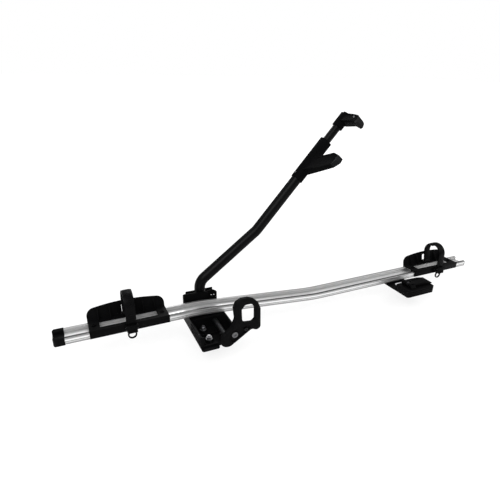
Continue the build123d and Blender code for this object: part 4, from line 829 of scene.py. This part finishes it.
@dataclass
class Arm(Dresser):
    """Folding arm with its jaws, shaft and handle, in millimetres as in the CAD model.

    Places on the tube are distances up from its elbow, across to the far side, and out from its axis.

    Args:
        elbow: bend of the tube.
        angle: slope of the upper tube in degrees.
        crank_edge: rounding of the crank plate.
        jaw_edge: rounding of the jaws.
        pad_edge: rounding of their pads.
        handle_edge: rounding of the handle.
        claw_root: where the lower claw starts to change, to the near side.
        claw_run: length over which the change sets in.
        claw_face: distance up to its grip face, at its middle.
        claw_middle: that middle, to the near side.
        claw_slope_share: rise of the face for each millimetre to the near side.
        claw_depth: depth under the face that comes down with it.
        claw_drop: how far the face comes down.
        claw_thinning_share: share of its thickness that the claw loses.
        crown_level: distance up from which the upper jaw is flattened.
        crown_root: where the flattening starts to ease, to the near side.
        crown_run: length over which it eases.
        crown_shares: height kept at the root, and what the run adds to it.
        screw_radius: radius of the jaws' screw heads.
        screw_profile_shares: profile of a head, in shares of its radius and in heights.
        lower_screw: place of the lower jaw's screw.
        upper_screw: place of the upper jaw's screw.
        rib_size: length, width and height of a rib on the grips.
        rib_edge: bevel of a rib.
        rib_pitch: step from rib to rib.
        rib_margin: length without ribs at each end of a grip.
        lower_face: line of the lower grip, up and across.
        upper_face: line of the upper grip, up and across.
    """

    elbow: Triple = (208.0, 54.0, 250.0)
    angle: float = 48.6
    crank_edge: float = 0.5
    jaw_edge: float = 1.2
    pad_edge: float = 1.5
    handle_edge: float = 1.4
    claw_root: float = 17.0
    claw_run: float = 14.0
    claw_face: float = 292.5
    claw_middle: float = 38.0
    claw_slope_share: float = 0.5125
    claw_depth: float = 30.0
    claw_drop: float = 9.0
    claw_thinning_share: float = 0.38
    crown_level: float = 412.0
    crown_root: float = 38.0
    crown_run: float = 30.0
    crown_shares: Pair = (0.6, 0.22)
    screw_radius: float = 3.2
    screw_profile_shares: Tuple[Pair, ...] = ((0.0, -2.0), (1.0, -2.0), (1.0, 0.6), (0.86, 1.2), (0.5, 1.4),
                                              (0.46, 0.4), (0.0, 0.4))
    lower_screw: Triple = (208.0, 0.0, 18.9)
    upper_screw: Triple = (424.6, -57.0, 12.4)
    rib_size: Triple = (13.0, 2.2, 1.6)
    rib_edge: float = 0.5
    rib_pitch: float = 5.0
    rib_margin: float = 2.0
    lower_face: Tuple[Pair, ...] = ((304.0, -78.0), (283.5, -38.0))
    upper_face: Tuple[Pair, ...] = ((408.5, -76.0), (411.4, -57.0), (405.6, -26.0))

    @property
    def direction(self) -> Vector:
        """Unit vector up the tube."""
        turn = math.radians(self.angle)
        return Vector((math.cos(turn), 0.0, math.sin(turn)))

    @property
    def normal(self) -> Vector:
        """Unit vector out of the plane of the jaws."""
        turn = math.radians(self.angle)
        return Vector((-math.sin(turn), 0.0, math.cos(turn)))

    def dress(self) -> None:
        """Paints the arm and reshapes its jaws."""
        self.paint(TUBE_BLACK, "arm_tube", "inner_tube")
        self.paint(BLACKED_SHAFT, "pivot_shaft")
        self.paint(CAST_BLACK, "arm_foot")
        self.soften(CAST_BLACK, "crank_plate", "arm", self.crank_edge)
        for jaw, body, change in (("lower_jaw", "arm", self._slim_claw),
                                  ("upper_jaw", "upper_jaw", self._low_crown)):
            self._reshape(self.soften(GREY_PLASTIC, jaw, body, self.jaw_edge, 3), change)
            self._reshape(self.soften(GRIP_RUBBER, jaw + "_pad", body, self.pad_edge, 3), change)
        self.paint(BUSH_PLASTIC, "guide_ring")
        self.soften(BLACK_PLASTIC, "handle", "arm", self.handle_edge, 3)
        self.paint(DULL_STEEL, "handle_bolt")
        self.paint(BLACKED_STEEL, "handle_pin")
        self._screws()
        self._jaw_ribs()

    def _on_tube(self, up: float, across: float, out: float) -> Vector:
        """Point in metres at distances up the upper tube, across and out from its axis."""
        return (Vector(self.elbow) + self.direction * up + Vector((0, across, 0)) + self.normal * out) * MM

    def _reshape(self, obj: bpy.types.Object, change: Callable[[float, float, float], Triple]) -> None:
        """Moves the points of a stand-in.

        Args:
            obj: the stand-in.
            change: gives the new distances up, across and out of the tube for the old ones.
        """
        direction, normal = self.direction, self.normal
        for vert in obj.data.vertices:
            way = vert.co / MM - Vector(self.elbow)
            vert.co = self._on_tube(*change(way.dot(direction), way.y, way.dot(normal)))
        obj.data.update()

    def _slim_claw(self, up: float, across: float, out: float) -> Triple:
        """Claw of the lower jaw, thinner than its solid and with a lower face, as in the photograph.

        Args:
            up: distance up the tube.
            across: distance to the far side.
            out: distance from its axis.

        Returns:
            The new distances.
        """
        away = eased(-across, self.claw_root, self.claw_run)
        face = self.claw_face - (across + self.claw_middle) * self.claw_slope_share
        near = eased(up, face - self.claw_depth, self.claw_depth)
        return up - self.claw_drop * away * near, across, out * (1.0 - self.claw_thinning_share * away)

    def _low_crown(self, up: float, across: float, out: float) -> Triple:
        """Upper jaw with a flatter crown than its solid.

        Args:
            up: distance up the tube.
            across: distance to the far side.
            out: distance from its axis.

        Returns:
            The new distances.
        """
        root, gain = self.crown_shares
        keep = root + gain * eased(-across, self.crown_root, self.crown_run)
        return min(up, self.crown_level + (up - self.crown_level) * keep), across, out

    def _screws(self) -> None:
        """Small socket screws on the two jaws."""
        for name, body, spot in (("lower_jaw_screw_head", "arm", self.lower_screw),
                                 ("upper_jaw_screw_head", "upper_jaw", self.upper_screw)):
            place = basis(self._on_tube(*spot), self.normal, self.direction)
            self.turn(DULL_STEEL, name, body, self.screw_profile_shares, self.screw_radius, place, 24)

    def _jaw_ribs(self) -> None:
        """Ribbed rubber on the faces of the jaws that grip the frame tube."""
        shape = bar("jaw_rib_shape", self.rib_size, self.rib_edge)
        for name, body, line, sign in (("lower_jaw_ribs", "arm", self.lower_face, 1.0),
                                       ("upper_jaw_ribs", "upper_jaw", self.upper_face, -1.0)):
            spots = []
            for point, way in stations(line, self.rib_pitch, self.rib_margin, self.rib_margin):
                facing = self.direction * (way.y * -sign) + Vector((0, way.x * sign, 0))
                if facing.dot(self.direction) * sign < 0:
                    facing.negate()
                at = self._on_tube(point.x, point.y, 0.0)
                spots.append(Spot(tuple(at), tuple(facing), tuple(self.normal)))
            self.repeater.lay(name, shape, spots, body, self.book.get(GRIP_RUBBER), GRIP_RUBBER.slot)
        bpy.data.objects.remove(shape)


HOLDER_PLACES = {End.FRONT: (-193.0, 49.0), End.REAR: (914.0, 13.0)}


@dataclass
class WheelHolder(Dresser):
    """One sliding wheel holder with its ladder strap and pawl, in millimetres.

    Args:
        end: end of the tray that it sits on.
        holder_edge: rounding of the holder.
        pawl_edge: rounding of the pawl.
        strap_edge: rounding of the strap.
        strap_line: line of the strap round the wheel, across and up from the tray's underside.
        strap_bend: radius of its corners.
        strap_thickness: thickness of the strap.
        rung_size: length, width and height of a rung.
        rung_edge: bevel of a rung.
        rung_sink: depth of a rung's foot in the strap.
        rung_pitch: step from rung to rung.
        rung_margins: lengths of the strap without rungs at its start and its end.
        thumb_size: length, width and height of a rib for the thumb.
        thumb_edge: bevel of such a rib.
        thumb_face: place across of the lever's outer face.
        thumb_levels: heights of the ribs over the tray's underside.
        thumb_facing: way that they face.
    """

    end: End = End.FRONT
    holder_edge: float = 0.7
    pawl_edge: float = 0.4
    strap_edge: float = 0.5
    strap_line: Tuple[Pair, ...] = ((21.0, 32.25), (34.5, 107.0), (-40.0, 107.0), (-40.0, 7.0))
    strap_bend: float = 33.0
    strap_thickness: float = 4.0
    rung_size: Triple = (17.0, 1.8, 0.7)
    rung_edge: float = 0.3
    rung_sink: float = 0.1
    rung_pitch: float = 5.0
    rung_margins: Pair = (14.0, 74.0)
    thumb_size: Triple = (20.0, 1.2, 0.8)
    thumb_edge: float = 0.3
    thumb_face: float = -52.2
    thumb_levels: Triple = (10.0, 12.6, 15.2)
    thumb_facing: Triple = (0.0, -1.0, 0.08)

    def dress(self) -> None:
        """Paints the holder."""
        holder, pawl, strap = (self.end.value + suffix for suffix in ("_holder", "_pawl", "_strap"))
        self.soften(BLACK_PLASTIC, holder, holder, self.holder_edge)
        self.soften(BLACK_PLASTIC, pawl, pawl, self.pawl_edge)
        self.soften(STRAP_PLASTIC, strap, holder, self.strap_edge)
        self.paint(SHAFT_STEEL, strap + "_pin", pawl + "_pin")
        self.paint(CAST_BLACK, holder + "_screws")
        self._rungs(strap + "_rungs", holder)
        self._thumb_ribs(pawl + "_ribs", pawl)

    def _rungs(self, name: str, body: str) -> None:
        """Ladder rungs across the outside of the strap.

        Args:
            name: name of the piece.
            body: CAD body that it rides on.
        """
        x, z = HOLDER_PLACES[self.end]
        shape = bar("rung_shape", self.rung_size, self.rung_edge)
        spots = []
        path = fillet_path(self.strap_line, self.strap_bend)
        for point, way in stations(path, self.rung_pitch, *self.rung_margins):
            out = Vector((way.y, -way.x))
            at = point + out * (self.strap_thickness / 2 - self.rung_sink)
            spots.append(Spot((x * MM, at.x * MM, (z + at.y) * MM), (0.0, out.x, out.y)))
        self.repeater.lay(name, shape, spots, body, self.book.get(STRAP_PLASTIC), STRAP_PLASTIC.slot)
        bpy.data.objects.remove(shape)

    def _thumb_ribs(self, name: str, body: str) -> None:
        """Ribs for the thumb on the release lever.

        Args:
            name: name of the piece.
            body: CAD body that it rides on.
        """
        x, z = HOLDER_PLACES[self.end]
        shape = bar("thumb_rib_shape", self.thumb_size, self.thumb_edge)
        spots = [Spot((x * MM, self.thumb_face * MM, (z + level) * MM), self.thumb_facing)
                 for level in self.thumb_levels]
        self.repeater.lay(name, shape, spots, body, self.book.get(BLACK_PLASTIC), BLACK_PLASTIC.slot)
        bpy.data.objects.remove(shape)


@dataclass
class RearFoot(Dresser):
    """Bracket and clamp under the rear of the tray.

    Args:
        clamp_edge: rounding of the clamp and its lever in millimetres.
    """

    clamp_edge: float = 0.8

    def dress(self) -> None:
        """Paints the rear foot."""
        self.paint(CAST_BLACK, "rear_bracket")
        self.paint(SEAT_RUBBER, "rear_seat_pad")
        self.soften(BLACK_PLASTIC, "rear_clamp_body", "rear_foot", self.clamp_edge)
        self.soften(BLACK_PLASTIC, "cam_lever", "cam_lever", self.clamp_edge)
        self.paint(PLATED_STEEL, "rear_tray_bolts", "rear_tray_nuts", "rear_channel_nut", "tie_rod")
        self.paint(BLACKED_STEEL, "rear_eye_bolt", "cam_pin")


@dataclass(frozen=True)
class CameraPose:
    """Camera of the photograph, worked out from its vanishing points.

    Args:
        place: where it stands, in metres.
        right: way to the right of the picture.
        up: way up the picture.
        back: way out of the picture.
        lens: focal length in millimetres.
        sensor: width of the sensor in millimetres.
        clip_start: nearest distance that it sees, in metres.
    """

    place: Triple = (-0.313, -1.0100, 0.6943)
    right: Triple = (0.9080, -0.4185, 0.0198)
    up: Triple = (0.1487, 0.3661, 0.9186)
    back: Triple = (-0.3917, -0.8311, 0.3947)
    lens: float = 30.24
    sensor: float = 36.0
    clip_start: float = 0.02


@dataclass(frozen=True)
class Lamp:
    """One soft square lamp.

    Args:
        name: its name.
        place: where it hangs, in metres.
        target: point that it shines at, in metres.
        size: its side in metres.
        power: its power in watts.
    """

    name: str
    place: Triple
    target: Triple
    size: float
    power: float


@dataclass(frozen=True)
class Studio:
    """Plain pale floor, soft lamps and the camera, in metres.

    Args:
        floor_level: level of the floor.
        floor_reach: distance from its middle to its sides.
        floor_grey: its shade.
        floor_roughness: its roughness.
        glow_middle: place on the floor that the glow grows from.
        glow_span: distances between which it grows.
        glow_strengths: its strength at those distances.
        glow_share: share of the glow in what the camera sees.
        sky_strength: strength of the soft light from all round.
        sky_stops: pairs of height in the sky and shade.
        lamps: the lamps.
        camera: the camera.
    """

    floor_level: float = -0.045
    floor_reach: float = 40.0
    floor_grey: float = 0.92
    floor_roughness: float = 0.95
    glow_middle: Pair = (0.45, 0.0)
    glow_span: Pair = (0.7, 1.7)
    glow_strengths: Pair = (1.06, 1.40)
    glow_share: float = 0.78
    sky_strength: float = 0.75
    sky_stops: Tuple[Pair, ...] = ((0.0, 0.16), (0.75, 0.95))
    lamps: Tuple[Lamp, ...] = (Lamp("key", (-1.4, -1.6, 2.4), (0.3, 0.0, 0.1), 1.8, 60.0),
                               Lamp("fill", (2.2, -1.2, 1.8), (0.4, 0.0, 0.1), 2.0, 28.0),
                               Lamp("rim", (0.6, 2.2, 2.0), (0.4, 0.0, 0.2), 1.6, 30.0))
    camera: CameraPose = CameraPose()

    def build(self) -> None:
        """Adds world, floor, lamps and camera."""
        self._world()
        self._floor()
        for lamp in self.lamps:
            self._hang(lamp)
        self._set_camera()

    def _world(self) -> None:
        """Soft light from all round, and white where the camera sees past the floor."""
        world = bpy.data.worlds.new("studio")
        world.use_nodes = True
        tree = world.node_tree
        tree.nodes.clear()
        coords = add_node(tree, "ShaderNodeTexCoord").outputs["Generated"]
        height = add_node(tree, "ShaderNodeSeparateXYZ", {"Vector": coords}).outputs["Z"]
        sky = add_node(tree, "ShaderNodeValToRGB", {"Fac": height})
        for stop, (position, shade) in zip(sky.color_ramp.elements, self.sky_stops):
            stop.position = position
            stop.color = (shade, shade, shade, 1.0)
        soft, white = (add_node(tree, "ShaderNodeBackground", {"Color": colour, "Strength": strength})
                       for colour, strength in ((sky.outputs["Color"], self.sky_strength), (WHITE, 1.0)))
        mix = add_node(tree, "ShaderNodeMixShader", {
            "Fac": add_node(tree, "ShaderNodeLightPath").outputs["Is Camera Ray"],
            1: soft.outputs["Background"],
            2: white.outputs["Background"],
        })
        add_node(tree, "ShaderNodeOutputWorld", {"Surface": mix.outputs["Shader"]})
        bpy.context.scene.world = world
        bpy.context.scene.view_settings.view_transform = "Standard"

    def _floor(self) -> None:
        """Pale floor that glows a little to the camera, more so far away."""
        work = bmesh.new()
        corners = [work.verts.new((x * self.floor_reach, y * self.floor_reach, self.floor_level))
                   for x, y in ((-1, -1), (1, -1), (1, 1), (-1, 1))]
        work.faces.new(corners)
        finished("floor", work, self._floor_material())

    def _floor_material(self) -> bpy.types.Material:
        """Material of the floor.

        Returns:
            The material.
        """
        material = bpy.data.materials.new("floor")
        material.use_nodes = True
        tree = material.node_tree
        tree.nodes.clear()
        shader = add_node(tree, "ShaderNodeBsdfPrincipled", {
            "Base Color": (self.floor_grey, self.floor_grey, self.floor_grey, 1.0),
            "Roughness": self.floor_roughness,
        })
        distance = add_node(tree, "ShaderNodeVectorMath", {
            0: add_node(tree, "ShaderNodeTexCoord").outputs["Object"],
            1: (*self.glow_middle, self.floor_level),
        }, operation="DISTANCE")
        fade = add_node(tree, "ShaderNodeMapRange", {
            "Value": distance.outputs["Value"],
            "From Min": self.glow_span[0],
            "From Max": self.glow_span[1],
            "To Min": self.glow_strengths[0],
            "To Max": self.glow_strengths[1],
        })
        glow = add_node(tree, "ShaderNodeEmission", {"Color": WHITE, "Strength": fade.outputs["Result"]})
        seen = add_node(tree, "ShaderNodeLightPath").outputs["Is Camera Ray"]
        mix = add_node(tree, "ShaderNodeMixShader", {
            "Fac": maths(tree, "MULTIPLY", seen, self.glow_share),
            1: shader.outputs["BSDF"],
            2: glow.outputs["Emission"],
        })
        add_node(tree, "ShaderNodeOutputMaterial", {"Surface": mix.outputs["Shader"]})
        return material

    @staticmethod
    def _hang(lamp: Lamp) -> None:
        """Adds a lamp.

        Args:
            lamp: the lamp.
        """
        light = bpy.data.lights.new(lamp.name, "AREA")
        light.size = lamp.size
        light.energy = lamp.power
        obj = linked(lamp.name, light)
        obj.location = lamp.place
        obj.rotation_euler = (Vector(lamp.target) - Vector(lamp.place)).to_track_quat("-Z", "Y").to_euler()

    def _set_camera(self) -> None:
        """Adds the camera."""
        pose = self.camera
        data = bpy.data.cameras.new("camera")
        data.lens = pose.lens
        data.sensor_width = pose.sensor
        data.clip_start = pose.clip_start
        camera = linked("camera", data)
        axes = Matrix((pose.right, pose.up, pose.back)).transposed().to_4x4()
        camera.matrix_world = Matrix.Translation(Vector(pose.place)) @ axes
        bpy.context.scene.camera = camera


def main() -> None:
    """Builds the whole scene."""
    logging.basicConfig(level=logging.INFO, format="%(name)s: %(message)s")
    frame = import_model()
    book, repeater = MaterialBook(), Repeater()
    Tray(frame, book, repeater).dress()
    FrontFoot(frame, book, repeater).dress()
    Arm(frame, book, repeater).dress()
    for end in End:
        WheelHolder(frame, book, repeater, end).dress()
    RearFoot(frame, book, repeater).dress()
    Studio().build()


if __name__ == "__main__":
    main()
